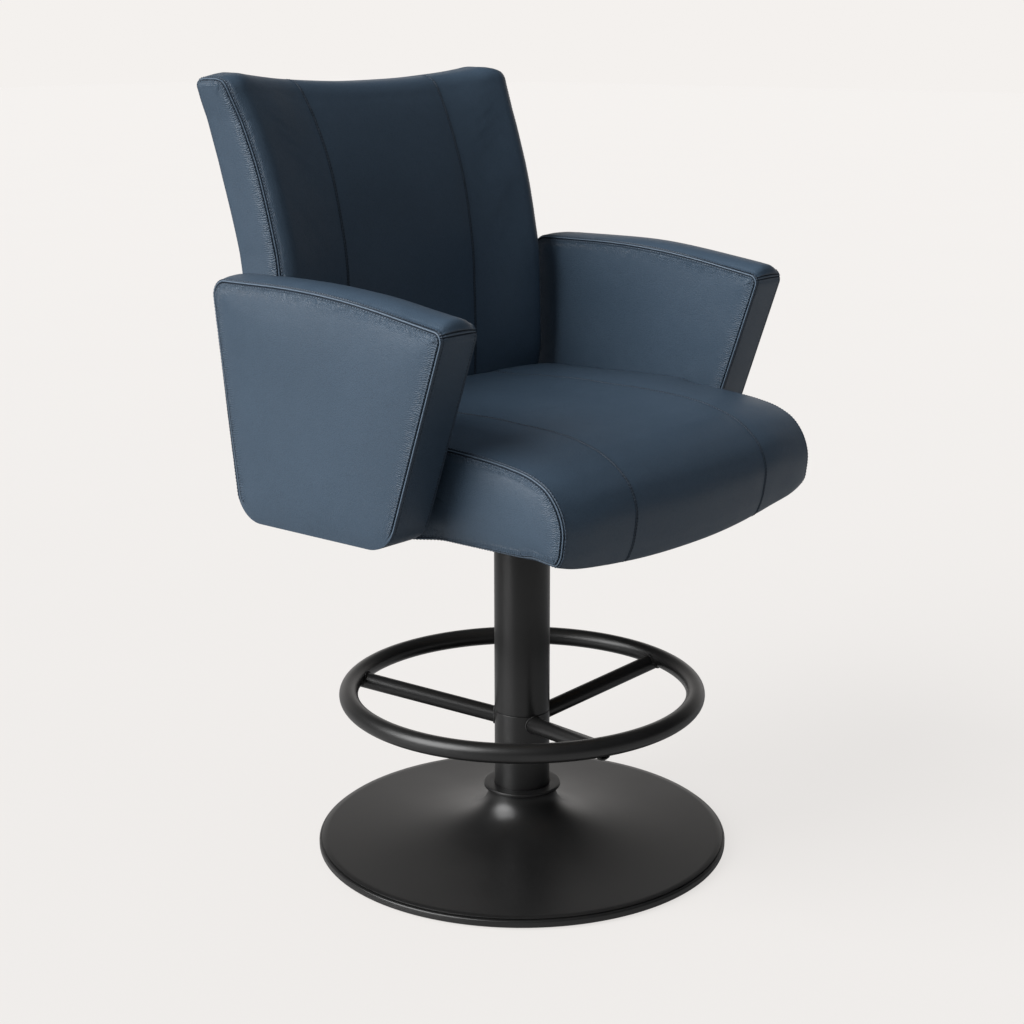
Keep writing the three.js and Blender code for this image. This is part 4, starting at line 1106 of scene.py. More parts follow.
class Pad:
    """A padded piece as a grid of sections across the stool by points round the outline."""

    def __init__(self, half, radius, spacing, panel_seams=()):
        self.radius = radius
        self.half = half
        falling = section_distances(half, radius, spacing, panel_seams)
        rising = falling[::-1]
        self.distance = np.array(rising + falling[1:])
        self.sign = np.array([-1] * len(rising) + [1] * (len(falling) - 1))
        folds = [fold(d, radius) for d in self.distance]
        self.x = self.sign * (half - np.array([back for back, _ in folds]))
        self.inset = np.array([inset for _, inset in folds])

    def build(self, outlines, puff, centre, gusset_puff, gusset_reach):
        """Grows each outline by puff along its normals, and closes both gussets towards centre."""
        normals = outline_normals(outlines)
        grown = outlines + normals * (puff - self.inset[:, None])[..., None]
        self.length = np.linalg.norm(np.diff(outlines, axis=1, append=outlines[:, :1]), axis=2)

        def swell(depth):
            return gusset_puff * (1 - (1 - np.clip(depth / gusset_reach, 0, 1)) ** SWELL_POWER)

        x = self.x + self.sign * swell(self.inset)
        sections = [np.column_stack([np.full(len(s), x[i]), s]) for i, s in enumerate(grown)]
        ends = {-1: [], 1: []}
        for sign, edge in ((-1, grown[0]), (1, grown[-1])):
            middle = centre(edge)
            for share in GUSSET_SHARES:
                ring = middle + (edge - middle) * share
                depth = depth_inside(ring, edge)
                bulge = sign * (self.half + swell(GUSSET_INSET + depth))
                ends[sign].append(np.column_stack([bulge, ring]))
        rows = ends[-1][::-1] + sections + ends[1]
        extra = len(GUSSET_SHARES)
        self.points = np.array(rows)
        self.first = extra
        self.measure()
        run = np.cumsum(self.length, axis=1)
        self.along = np.vstack([run[:1]] * extra + [run] + [run[-1:]] * extra)
        return self

    def faces(self):
        rings, count = self.points.shape[:2]
        grid = np.arange(rings * count).reshape(rings, count)
        ahead = np.roll(grid, -1, axis=1)
        quads = np.stack([grid[:-1], ahead[:-1], ahead[1:], grid[1:]], axis=2).reshape(-1, 4)
        return quads, tuple(grid[0][::-1]), tuple(grid[-1])

    def normals(self):
        """Unit normals of the grid's points. The small rings inside a gusset face straight out."""
        along = np.roll(self.points, -1, axis=1) - np.roll(self.points, 1, axis=1)
        across = np.gradient(self.points, axis=0)
        out = np.cross(along, across)
        inner = sum(share < FLAT_GUSSET_SHARE for share in GUSSET_SHARES)
        out[:inner] = (-1.0, 0.0, 0.0)
        out[-inner:] = (1.0, 0.0, 0.0)
        return out / np.maximum(np.linalg.norm(out, axis=2, keepdims=True), 1e-12)

    def row_at(self, sign, distance):
        """The section that was laid out at this distance from one side's seam."""
        match = np.where(self.sign == sign, np.abs(self.distance - distance), 1.0)
        return self.first + int(np.argmin(match))

    def across(self, row):
        """Distance of every point from one row, along the cover."""
        step = np.linalg.norm(np.diff(self.points, axis=0), axis=2)
        run = np.vstack([np.zeros_like(step[:1]), np.cumsum(step, axis=0)])
        return run - run[row]

    def measure(self):
        """Sets every point's distance from the nearer corner seam, along the cover."""
        left = self.across(self.row_at(-1, 0.0))
        right = -self.across(self.row_at(1, 0.0))
        halfway = len(self.points) // 2
        self.seam_distance = np.vstack([left[:halfway], right[halfway:]])

    def line_at(self, sign, from_seam, offset):
        """Points and normals at an even distance along the cover from one laid-out row."""
        row = self.row_at(sign, from_seam)
        distance = self.across(row) * -sign
        normals = self.normals()
        near = slice(max(0, row - LINE_ROWS), row + LINE_ROWS + 1)
        places, ups = [], []
        for j in range(self.points.shape[1]):
            order = slice(None) if sign < 0 else slice(None, None, -1)
            run = distance[near, j][order]
            places.append([np.interp(offset, run, self.points[near, j, k][order]) for k in range(3)])
            ups.append([np.interp(offset, run, normals[near, j, k][order]) for k in range(3)])
        ups = np.array(ups)
        return np.array(places), ups / np.linalg.norm(ups, axis=1, keepdims=True)


print("skinning ready")

# %% [markdown]
# Foam under pressure
#
# Foam pushes a sewn cover outwards, and the cover can give only between its seams. A cloth simulation
# finds that form: a coarse copy of the pad is pinned along its seams and against its neighbours, and
# pressure from inside swells the rest for a few frames. The swelling is small and is capped. Stretched
# leather over foam lies without folds, so the moves are averaged over 5 cm before they are carried over to
# the fine cover.

# %% A coarse copy to inflate
VOXEL = 0.0075


def tree_of(points):
    """A search tree over an array of points."""
    tree = KDTree(len(points))
    for i, point in enumerate(points):
        tree.insert(point, i)
    tree.balance()
    return tree


def coarse_copy(pad):
    """The pad as an evenly meshed closed object, and its points."""
    quads, left, right = pad.faces()
    source = add_piece("foam_shape", pad.points.reshape(-1, 3), [*quads.tolist(), left, right], leather)
    remesh = source.modifiers.new("Remesh", "REMESH")
    remesh.mode = "VOXEL"
    remesh.voxel_size = VOXEL
    graph = bpy.context.evaluated_depsgraph_get()
    coarse = bpy.data.meshes.new_from_object(source.evaluated_get(graph))
    bpy.data.objects.remove(source)
    blob = bpy.data.objects.new("foam", coarse)
    bpy.context.scene.collection.objects.link(blob)
    rest = np.empty(len(coarse.vertices) * 3)
    coarse.vertices.foreach_get("co", rest)
    return blob, rest.reshape(-1, 3)


print("coarse copies in steps of", VOXEL)

# %% Cloth pressure
FRAMES = 14
PRESSURE = 3.0
CLOTH_QUALITY = 4


def inflated(blob, rest, held):
    """Runs the cloth with some points held, and returns how far each point moved."""
    group = blob.vertex_groups.new(name="held")
    group.add(np.flatnonzero(held).tolist(), 1.0, "REPLACE")
    cloth = blob.modifiers.new("Cloth", "CLOTH")
    cloth.settings.quality = CLOTH_QUALITY
    cloth.settings.vertex_group_mass = "held"
    cloth.settings.use_pressure = True
    cloth.settings.uniform_pressure_force = PRESSURE
    cloth.settings.effector_weights.gravity = 0.0
    cloth.point_cache.frame_start = 1
    cloth.point_cache.frame_end = FRAMES
    for step in range(1, FRAMES + 1):
        bpy.context.scene.frame_set(step)
    graph = bpy.context.evaluated_depsgraph_get()
    after = np.empty(len(rest) * 3)
    blob.evaluated_get(graph).data.vertices.foreach_get("co", after)
    bpy.data.objects.remove(blob)
    bpy.context.scene.frame_set(1)
    return after.reshape(-1, 3) - rest


print("cloth pressure", "is on")

# %% Carry the swelling to the fine cover
SWELL_CAP = 0.0022
PIN_REACH = 0.007
CALM_REACH = 0.050
CARRY_POINTS = 5
CARRY_SOFTNESS = 0.001


def averaged(values, found, weights):
    """The weighted mean of the values at the places that a search found."""
    return (weights[:, None] * values[[k for _, k, _ in found]]).sum(0) / weights.sum()


def swollen(pad, pinned):
    """Offsets for the pad's points, from cloth under pressure. pinned says which places are held."""
    flat = pad.points.reshape(-1, 3)
    blob, rest = coarse_copy(pad)
    cover = tree_of(flat)
    nearest = np.array([cover.find(point)[1] for point in rest])
    sewn = np.abs(pad.sewn_distance.reshape(-1)[nearest]) < PIN_REACH
    move = inflated(blob, rest, sewn | pinned(rest))
    size = np.linalg.norm(move, axis=1, keepdims=True)
    move *= np.minimum(1.0, SWELL_CAP / np.maximum(size, 1e-9))
    foam = tree_of(rest)
    calmed = np.zeros_like(move)
    for i, point in enumerate(rest):
        found = foam.find_range(point, CALM_REACH)
        weights = np.array([(1 - d / CALM_REACH) ** 2 for _, _, d in found])
        calmed[i] = averaged(move, found, weights)
    offsets = np.zeros_like(flat)
    for i, point in enumerate(flat):
        found = foam.find_n(point, CARRY_POINTS)
        weights = np.array([1.0 / (d + CARRY_SOFTNESS) for _, _, d in found])
        offsets[i] = averaged(calmed, found, weights)
    print("  cloth:", len(rest), "points, largest swelling", round(float(np.abs(offsets).max()), 4))
    return offsets.reshape(pad.points.shape)


print("swelling is capped at", SWELL_CAP)

# %% [markdown]
# The profile of a sewn seam
#
# Two edges are sewn face to face, turned in, and stitched down on both sides, so that a flat welt stands
# between two narrow grooves. Past each groove the cover rolls up again and has a shallow dent where the
# topstitches pull it down. One table holds this: a distance in millimetres, and a height as a share of the
# seam's depth. The thinner seams between panels use it too, scaled down.

# %% Seam profile and gathers
SEAM_HEIGHT_SHARES = (
    (0.0, 0.5),
    (0.5, 0.42),
    (1.0, 0.0),
    (1.7, -1.0),
    (2.1, -0.85),
    (2.7, 0.2),
    (3.2, 0.4),
    (4.2, 0.3),
    (5.0, -0.1),
    (5.8, 0.12),
    (9.0, 0.12),
    (16.0, 0.0),
)
SEAM_DEPTH = 0.0013
GROOVE_OFFSET = 0.0018
STITCH_OFFSET = 0.0050
PANEL_SEAM_SCALE = 0.5
PANEL_DENT_OFFSET = 0.0023
PANEL_STITCH_OFFSET = 0.0026
PANEL_SEAM_REACH = 0.03
GATHER_REACH = 0.013
PANEL_GATHER = 0.12
PANEL_GATHER_REACH = 0.008
WAVE_COUNT = 9


def seam_height(distance, scale=1.0):
    """Height of the cover beside a seam, as a share of its depth."""
    return read_shares(SEAM_HEIGHT_SHARES, np.abs(distance) * 1000.0 / scale)


def ridge(distance, centre, width):
    """A soft stripe at an even distance on both sides of a seam."""
    return np.exp(-(((np.abs(distance) - centre) / width) ** 2))


def soft_waves(points, wavelength, seed):
    """Smooth irregular waves over a surface, the same on every run."""
    random = np.random.default_rng(seed)
    total = np.zeros(points.shape[:-1])
    for _ in range(WAVE_COUNT):
        direction = random.normal(size=3)
        direction /= np.linalg.norm(direction)
        pace = 2 * math.pi / (wavelength * random.uniform(0.7, 1.5))
        total += np.sin((points @ direction) * pace + random.uniform(0, 2 * math.pi))
    return total / 3.0


print("seam height on the welt and in its groove:", seam_height(0), seam_height(GROOVE_OFFSET))

# %% [markdown]
# Sewing
#
# A pad lists its seams. Each knows how far every point lies from it, its scale, how strongly it gathers
# the cover, and a share that is 1 where it shows and fades to 0 where the cover is tucked under and
# stapled. Sewing presses the profile into the grid, along the surface's own normals, and fills the
# attributes that the leather reads. A second helper keeps the rows that the stitches will follow.


# %% Sew a pad
CALM_HEIGHT = 0.0003
CALM_WAVE = 0.11
CALM_FADE = 0.02
GROOVE_SHADE_WIDTH = 0.0007
STITCH_SHADE_WIDTH = 0.0004
WELT_WIDTH = 0.0008
ROLL_OFFSET = 0.0031
ROLL_WIDTH = 0.0007
GATHER_START = 0.002
GATHER_RISE = 0.003
GUSSET_GATHER_SHARE = 1.0
PANEL_GATHER_SHARE = 0.4
PUCKER_HEIGHT = 0.00035
PUCKER_WAVE = 0.010

Seam = namedtuple("Seam", "distance shown scale stitch gather gather_reach")


def sew(pad, seams, seed):
    """Moves the pad's points by its seams, and fills the attributes that the leather reads."""
    shape = pad.points.shape[:2]
    groove = np.zeros(shape)
    rubbed = np.zeros(shape)
    gather = np.zeros(shape)
    away = smooth_step(np.abs(pad.sewn_distance) / CALM_FADE)
    height = CALM_HEIGHT * soft_waves(pad.points, CALM_WAVE, seed) * away
    for seam in seams:
        distance, shown, scale = seam.distance, seam.shown, seam.scale
        height += SEAM_DEPTH * scale * shown * seam_height(distance, scale)
        # painted shade: a dark stripe in the groove beside each seam and a fainter one on each stitch row
        groove = np.maximum(groove, shown * ridge(distance, GROOVE_OFFSET * scale, GROOVE_SHADE_WIDTH))
        groove = np.maximum(groove, 0.3 * shown * ridge(distance, seam.stitch, STITCH_SHADE_WIDTH))
        # partly wear and partly painted highlight: a pale stripe on the welt and on the rolled edges
        rubbed = np.maximum(rubbed, shown * ridge(distance, 0.0, WELT_WIDTH))
        roll_wear_and_sheen = ridge(distance, ROLL_OFFSET * scale, ROLL_WIDTH * scale)
        rubbed = np.maximum(rubbed, 0.4 * shown * roll_wear_and_sheen)
        reach = np.abs(distance)
        pull = np.exp(-((reach / seam.gather_reach) ** 2))
        pull *= smooth_step((reach - GATHER_START) / GATHER_RISE)
        pull = pull * np.where(distance < 0, GUSSET_GATHER_SHARE, PANEL_GATHER_SHARE)
        gather = np.maximum(gather, pull * shown * seam.gather)
    height += PUCKER_HEIGHT * gather * soft_waves(pad.points, PUCKER_WAVE, seed + 50)
    pad.points = pad.points + pad.normals() * height[..., None]
    pad.groove, pad.rubbed, pad.gather = groove, rubbed, gather


def finish_pad(name, pad, node):
    """Makes a sewn pad a piece, with the attributes that the leather reads."""
    quads, left, right = pad.faces()
    piece = add_piece(name, pad.points.reshape(-1, 3), [*quads.tolist(), left, right], leather)
    for label in ("groove", "rubbed", "gather", "along"):
        stored = piece.data.attributes.new(label, "FLOAT", "POINT")
        stored.data.foreach_set("value", getattr(pad, label).astype(np.float32).ravel())
    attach(piece, "seat")
    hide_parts(node)
    print(" ", name, ":", len(quads), "quads")


print("sewing ready")

# %% Rows for the stitches
SHOWN_FROM = 0.5
LEAST_ROW = 3
stitch_rows = []


def add_stitches(pad, sign, from_seam, offset, shown):
    """Keeps a line beside a seam, where the seam shows, as a path for stitches."""
    points, normals = pad.line_at(sign, from_seam, offset)
    use = np.flatnonzero(shown[pad.row_at(sign, from_seam)] > SHOWN_FROM)
    for stretch in np.split(use, np.flatnonzero(np.diff(use) > 1) + 1):
        if len(stretch) >= LEAST_ROW:
            stitch_rows.append((points[stretch], normals[stretch]))


def stitch_pad(pad, shown, panel_seam=None, panel_shown=None):
    """Rows beside both corner seams, and beside both panel seams where the pad has them."""
    for side in (-1, 1):
        for offset in (STITCH_OFFSET, -STITCH_OFFSET):
            add_stitches(pad, side, 0.0, offset, shown)
        if panel_seam:
            from_corner = pad.half - pad.radius + pad.radius * math.pi / 4 - panel_seam
            for offset in (PANEL_STITCH_OFFSET, -PANEL_STITCH_OFFSET):
                add_stitches(pad, side, from_corner, offset, panel_shown)


print("rows need", LEAST_ROW, "points at least")

# %% [markdown]
# The seat
#
# The seat is one long panel from the back over a round nose, in three widths, between two side gussets.
# Its nose is bowed, and its front lip hangs under the board. In the middle the nose rolls well under, and
# at the sides it ends in a sharper lip, so each has a table of shares of the nose's depth and height, and
# the sections between blend the two. Behind the front of the arms the sides widen to meet them.

# %% Seat sizes and outline
SEAT_UNDER = 0.498
SEAT_HALF = 0.264
SEAT_SIDE_TOP = 0.610
SEAT_FRONT = 0.289
SEAT_BOW = 0.013
SEAT_LIP_DROP = 0.0295
SEAT_SIDE_LIP = 0.001
LIP_POWER = 0.7
NOSE_DEPTH = 0.120
SEAT_SEAM = 0.140
SEAT_CROWN = 0.006
SEAT_FULL = 0.0104
NOSE_PUFF_SHARE = 0.4
SEAT_GUSSET_PUFF = 0.007
SEAT_GUSSET_REACH = 0.045
SEAT_VALLEY = 0.0009
SEAT_VALLEY_WIDTH = 0.012
SEAT_FULL_POWER = 8
SEAT_REAR = 0.1854
ARM_START = 0.095
ARM_BLEND = 0.040
SEAT_WING = 0.2852
SEAT_FOLD = 0.005
BOARD_REVEAL = 0.0016
BOARD_HALF = 0.234
BOARD_SIDE_FADE = 0.008
BOARD_FRONT_FADE = 0.012
BOARD_NEAR = 0.004
LIP_UNDER = 0.060
REAR_UNDER = 0.080
SECTION_SPACING = 0.0042

SIDE_NOSE_SHARES = (
    (1, 0.975), (0.66, 0.935), (0.39, 0.872), (0.2, 0.77), (0.06, 0.59), (0, 0.4),
    (0.006, 0.21), (0.034, 0.075), (0.085, 0.008), (0.16, 0.01), (0.36, 0.035),
)
MIDDLE_NOSE_SHARES = (
    (1, 0.975), (0.66, 0.935), (0.39, 0.872), (0.2, 0.78), (0.05, 0.64), (0, 0.5),
    (0.01, 0.32), (0.055, 0.14), (0.125, 0.03), (0.23, -0.004), (0.36, 0.0),
)
LIP_BLEND = 0.35
SEAT_TOP_SHARES = (
    (1, 0.12), (0.98, 0.07), (0.93, 0.045), (0.7, 0.028), (0.35, 0.005), (-0.1, -0.01), (-0.5, -0.005),
)


def seat_outline(spread):
    """Points (y, z) from the rear over the top and the nose; spread is 0 in the middle, 1 outside."""
    bow = max(0.0, 1 - spread * spread)
    front = -(SEAT_FRONT - SEAT_BOW) - SEAT_BOW * bow
    lip = SEAT_UNDER - SEAT_SIDE_LIP - (SEAT_LIP_DROP - SEAT_SIDE_LIP) * bow**LIP_POWER
    top = SEAT_SIDE_TOP + SEAT_CROWN * bow
    fall = SEAT_SIDE_TOP - SEAT_UNDER
    run = [(SEAT_REAR, SEAT_UNDER)]
    run += [(y * SEAT_REAR, top - z * fall) for y, z in SEAT_TOP_SHARES]
    round_share = smooth_step((1 - spread) / LIP_BLEND)
    for side, middle in zip(SIDE_NOSE_SHARES, MIDDLE_NOSE_SHARES):
        y, z = (s + round_share * (m - s) for s, m in zip(side, middle))
        run.append((front + y * NOSE_DEPTH, lip + z * (top - lip)))
    run += [(y, SEAT_UNDER) for y in (front + LIP_UNDER, -ARM_START, ARM_BLEND - ARM_START, REAR_UNDER)]
    return run


print("seat outline:", len(seat_outline(0.0)), "points")

# %% Steps round an outline
POINT_SPACING = 0.0034
HIDDEN_SPACING = 0.009
HIDDEN_STRETCHES = 4


def steps_for(outline, hidden=()):
    """How many steps each stretch of a given outline gets."""
    points = np.array(outline)
    lengths = np.linalg.norm(np.roll(points, -1, axis=0) - points, axis=1)
    return [
        max(2, round(length / (HIDDEN_SPACING if i in hidden else POINT_SPACING)))
        for i, length in enumerate(lengths)
    ]


def mean_centre(outline):
    return outline.mean(axis=0)


lip_end = 1 + len(SEAT_TOP_SHARES) + len(SIDE_NOSE_SHARES)
seat_steps = steps_for(seat_outline(0.5), hidden=range(lip_end, lip_end + HIDDEN_STRETCHES))
print("seat outline in", sum(seat_steps), "steps")

# %% The seat's form
def seat_form():
    pad = Pad(SEAT_HALF, SEAT_FOLD, SECTION_SPACING, (SEAT_SEAM,))
    spread = np.abs(pad.x) / SEAT_HALF
    drawn = np.array([seat_outline(s) for s in spread])
    outlines = flowing(drawn, seat_steps, corners=(0, lip_end))
    normals = outline_normals(outlines)
    facing = np.maximum(np.maximum(0.0, normals[..., 1]), -NOSE_PUFF_SHARE * normals[..., 0])
    full = SEAT_FULL * (1 - spread**SEAT_FULL_POWER) - SEAT_CROWN * (1 - spread**2)
    valley = SEAT_VALLEY * np.exp(-(((np.abs(pad.x) - SEAT_SEAM) / SEAT_VALLEY_WIDTH) ** 2))
    puff = (full - valley)[:, None] * facing
    return pad.build(outlines, puff, mean_centre, SEAT_GUSSET_PUFF, SEAT_GUSSET_REACH)


def fit_seat(pad):
    """Widens the rear to meet the arms, flattens it against the back, and clears the board underneath."""
    x, y, z = pad.points[..., 0], pad.points[..., 1], pad.points[..., 2]
    behind = smooth_step((y + ARM_START) / ARM_BLEND)
    side = np.sign(x)
    beyond = np.clip((np.abs(x) - SEAT_SEAM) / (SEAT_HALF - SEAT_SEAM), 0, 1)
    outer = np.minimum(np.abs(x), SEAT_HALF) + beyond * behind * (SEAT_WING - SEAT_HALF)
    x = side * (outer + np.maximum(0, np.abs(x) - SEAT_HALF) * (1 - behind))
    y = np.minimum(y, SEAT_REAR)
    over_board = smooth_step((BOARD_HALF - np.abs(x)) / BOARD_SIDE_FADE)
    over_board = over_board * smooth_step((y + BOARD_HALF - BOARD_FRONT_FADE) / BOARD_FRONT_FADE)
    near_board = over_board * (z < SEAT_UNDER + BOARD_NEAR)
    z = z + near_board * (np.maximum(z, SEAT_UNDER + BOARD_REVEAL) - z)
    pad.points = np.stack([x, y, z], axis=2)
    pad.measure()
    pad.sewn_distance = pad.seam_distance


print("seat spans", round(2 * SEAT_HALF, 3), "m in front and", round(2 * SEAT_WING, 3), "m between the arms")

# %% Seat cushion
SEAT_HELD_REAR = 0.12
SEAT_HELD_UNDER = 0.012
SEAT_HELD_SIDE = 0.01
SEAT_HELD_FRONT = -0.12
TUCK_UNDER = 0.012
LIP_TUCK = 0.024
TUCK_FADE = 0.006
TUCK_REAR = 0.004
NOSE_BEHIND = -0.22
TOP_ABOVE = 0.55
SEAT_GATHER = 0.8
SEAT_SEED = 3


def seat_held(p):
    """Where the seat's cover can't swell: against the back, on the board and between the arms."""
    under = p[:, 2] < SEAT_UNDER + SEAT_HELD_UNDER
    between_arms = (np.abs(p[:, 0]) > SEAT_HALF - SEAT_HELD_SIDE) & (p[:, 1] > SEAT_HELD_FRONT)
    return (p[:, 1] > SEAT_HELD_REAR) | under | between_arms


def build_seat():
    pad = seat_form()
    fit_seat(pad)
    pad.points = pad.points + swollen(pad, seat_held)
    x, y, z = pad.points[..., 0], pad.points[..., 1], pad.points[..., 2]
    before_back = smooth_step((SEAT_REAR - TUCK_REAR - y) / TUCK_FADE)
    shown = smooth_step((z - SEAT_UNDER + TUCK_UNDER) / TUCK_UNDER) * before_back
    panel = np.abs(x) - SEAT_SEAM
    lip_shown = smooth_step((z - SEAT_UNDER + LIP_TUCK) / TUCK_FADE) * before_back
    not_under = np.where(y > NOSE_BEHIND, z > TOP_ABOVE, 1.0)
    on_top = lip_shown * (np.abs(panel) < PANEL_SEAM_REACH) * not_under
    side_seam = Seam(pad.seam_distance, shown, 1.0, STITCH_OFFSET, SEAT_GATHER, GATHER_REACH)
    panel_seam = Seam(panel, on_top, PANEL_SEAM_SCALE, PANEL_DENT_OFFSET, PANEL_GATHER, PANEL_GATHER_REACH)
    sew(pad, (side_seam, panel_seam), SEAT_SEED)
    return pad, shown, on_top


seat_pad, seat_shown, seat_panel_shown = build_seat()
finish_pad("seat_cover", seat_pad, "seat_cushion")
stitch_pad(seat_pad, seat_shown, SEAT_SEAM, seat_panel_shown)
print("stitch rows so far:", len(stitch_rows))

# %% [markdown]
# The back
#
# The back curves about the sitter: it leans, its sides come forward as wings, and its top corners stand
# above the middle as ears. Its section is drawn from tables of shares of the height, the front and the
# rear each with their own lean, joined by an arch. The panel rolls over a broad edge before it meets the
# gusset.

# %% Back sizes and outline
BACK_FRONT_LOW = 0.190
BACK_UNDER = 0.505
BACK_TOP = 1.0195
BACK_LEAN = 0.079
BACK_HALF = 0.270
BACK_TAPER = 0.015
BACK_SEAM = 0.132
BACK_THICKNESS = 0.0505
BACK_REAR_LEAN = 0.068
BACK_WING = 0.027
EAR_RISE = 0.0147
EAR_X = 0.232
EAR_DROP = 0.0072
EAR_SHOULDER = 0.034
EAR_POWER = 1.5
BACK_CROWN = 0.005
BACK_FOLD = 0.005
BACK_GUSSET_PUFF = 0.0025
BACK_GUSSET_REACH = 0.020
BACK_VALLEY = 0.0011
BACK_VALLEY_WIDTH = 0.013
ARCH_RISE = 0.014
ARCH_STEPS = 8
REAR_SQUARE = 0.6
FRONT_SQUARE = 0.75
EAR_SQUARE = 0.42
EDGE_RADIUS = 0.030
EDGE_TURN = 0.866
BACK_HEIGHT = 0.513

FRONT_LEAN_SHARES = (
    (0, 0), (0.36, 0), (0.53, 0.013), (0.655, 0.125), (0.76, 0.27), (0.87, 0.53), (0.96, 0.81), (1.03, 1.03),
)
REAR_LEAN_SHARES = (
    (0, 0), (0.4, 0), (0.573, 0.15), (0.675, 0.32), (0.782, 0.55), (0.889, 0.77), (1.03, 1.05),
)
TAPER_SHARES = (
    (0, 0.7), (0.35, 0.75), (0.5, 0.98), (0.6, 1.05), (0.71, 0.93), (0.82, 0.85), (0.92, 0.62), (1, 0.2),
)
WING_SHARES = (
    (0, 0), (0.17, 0.1), (0.205, 0.5), (0.25, 0.75), (0.34, 0.9), (0.57, 0.95), (0.65, 0.88),
    (0.73, 0.8), (0.8, 0.8), (0.87, 0.83), (0.93, 0.94), (0.97, 0.92), (1.03, 0.98),
)
ROLL_SHARES = ((0, 0.3), (0.2, 0.3), (0.32, 1), (1, 1))
FRONT_ROW_SHARES = (0.955, 0.87, 0.76, 0.655, 0.53, 0.44, 0.34, 0.25, 0.2, 0.1, 0)
REAR_ROW_SHARES = (0, 0.22, 0.4, 0.573, 0.675, 0.782, 0.889, 0.965)


def edge_roll(x):
    """How far the panel has turned back at x, on an arc that ends at the corner seam."""
    turn = EDGE_TURN * max(0.0, 1 - (BACK_HALF - abs(x)) / (EDGE_RADIUS * EDGE_TURN))
    return EDGE_RADIUS * (1 - math.sqrt(1 - turn * turn))


def back_front(x, share):
    """Where the front of the back lies, at x and at this share of its height."""
    wing = smooth_step((abs(x) - BACK_SEAM) / (BACK_HALF - BACK_SEAM))
    lean = BACK_LEAN * read_shares(FRONT_LEAN_SHARES, share)
    roll = edge_roll(x) * read_shares(ROLL_SHARES, share)
    return BACK_FRONT_LOW + lean - BACK_WING * wing * read_shares(WING_SHARES, share) + roll


def back_rear(share):
    return BACK_FRONT_LOW + BACK_THICKNESS + BACK_REAR_LEAN * read_shares(REAR_LEAN_SHARES, share)


def back_top(x):
    rise = EAR_RISE * min(1.0, abs(x) / EAR_X) ** 2
    drop = EAR_DROP * max(0.0, (abs(x) - BACK_HALF) / EAR_SHOULDER + 1) ** EAR_POWER
    return BACK_TOP + rise - drop


def back_outline(x):
    """Points (y, z) up the rear, over the arch and down the front."""
    stretch = (back_top(x) - ARCH_RISE - BACK_UNDER) / (BACK_HEIGHT - ARCH_RISE)

    def height(share):
        return BACK_UNDER + share * BACK_HEIGHT * stretch

    run = [(back_rear(share * stretch), height(share)) for share in REAR_ROW_SHARES]
    rear_z = run[-1][1]
    front_z = height(FRONT_ROW_SHARES[0])
    toward_ear = smooth_step((abs(x) - BACK_HALF) / (2 * EAR_SHOULDER) + 1)
    for i in range(1, ARCH_STEPS):
        angle = i / ARCH_STEPS * math.pi
        square = FRONT_SQUARE + (EAR_SQUARE - FRONT_SQUARE) * toward_ear
        if i < ARCH_STEPS / 2:
            square = REAR_SQUARE
        base = rear_z + (front_z - rear_z) * i / ARCH_STEPS
        z = base + (back_top(x) - base) * math.sin(angle) ** square
        share = (z - BACK_UNDER) / BACK_HEIGHT
        across = math.copysign(abs(math.cos(angle)) ** square, math.cos(angle))
        rear, front = back_rear(share), back_front(x, share)
        run.append(((rear + front) / 2 + (rear - front) / 2 * across, z))
    run += [(back_front(x, share * stretch), height(share)) for share in FRONT_ROW_SHARES]
    return run


back_corners = (0, len(REAR_ROW_SHARES) + ARCH_STEPS - 2 + len(FRONT_ROW_SHARES))
back_steps = steps_for(back_outline(0.1), hidden=(back_corners[1],))
print("back outline:", len(back_outline(0.0)), "points in", sum(back_steps), "steps")

# %% The back's form
SPINE_MARGIN = 0.02


def spine(outline):
    """The middle line of a tall outline, so that its gusset shrinks to a line and not to a point."""
    z = outline[:, 1]
    height = np.clip(z, z.min() + SPINE_MARGIN, z.max() - SPINE_MARGIN)
    share = (height - BACK_UNDER) / BACK_HEIGHT
    return np.column_stack([(back_front(BACK_HALF, share) + back_rear(share)) / 2, height])


def back_form():
    pad = Pad(BACK_HALF, BACK_FOLD, SECTION_SPACING, (BACK_SEAM,))
    across = np.abs(pad.x)
    drawn = np.array([back_outline(min(x, BACK_HALF)) for x in across])
    outlines = flowing(drawn, back_steps, corners=back_corners)
    normals = outline_normals(outlines)
    front = np.maximum(0.0, -normals[..., 0])
    rear = np.maximum(0.0, normals[..., 0])
    valley = BACK_VALLEY * np.exp(-(((across - BACK_SEAM) / BACK_VALLEY_WIDTH) ** 2))
    crown = BACK_CROWN * (1 - (across / BACK_HALF) ** 2)
    puff = crown[:, None] * rear - valley[:, None] * front
    return pad.build(outlines, puff, spine, BACK_GUSSET_PUFF, BACK_GUSSET_REACH)


def narrow_back(pad):
    """Draws the back in by its taper, and returns what is left of its width at each point."""
    x, y, z = pad.points[..., 0], pad.points[..., 1], pad.points[..., 2]
    taper = BACK_TAPER * read_shares(TAPER_SHARES, (z - BACK_UNDER) / BACK_HEIGHT)
    kept = 1 - taper / BACK_HALF
    pad.points = np.stack([x * kept, y, z], axis=2)
    pad.measure()
    pad.sewn_distance = pad.seam_distance
    return kept


print("back spans", round(2 * BACK_HALF, 3), "m before its taper")

# %% Back cushion
BACK_HELD_BELOW = 0.63
BACK_HELD_SIDE = 0.012
BACK_TUCK = 0.012
BACK_TUCK_FADE = 0.01
REAR_SEAM_SHARE = 0.62
REAR_GATHER = 0.15
FRONT_GATHER = 0.85
GATHER_FADE = 0.02
FRONT_FADE = 0.006
BACK_SEED = 11


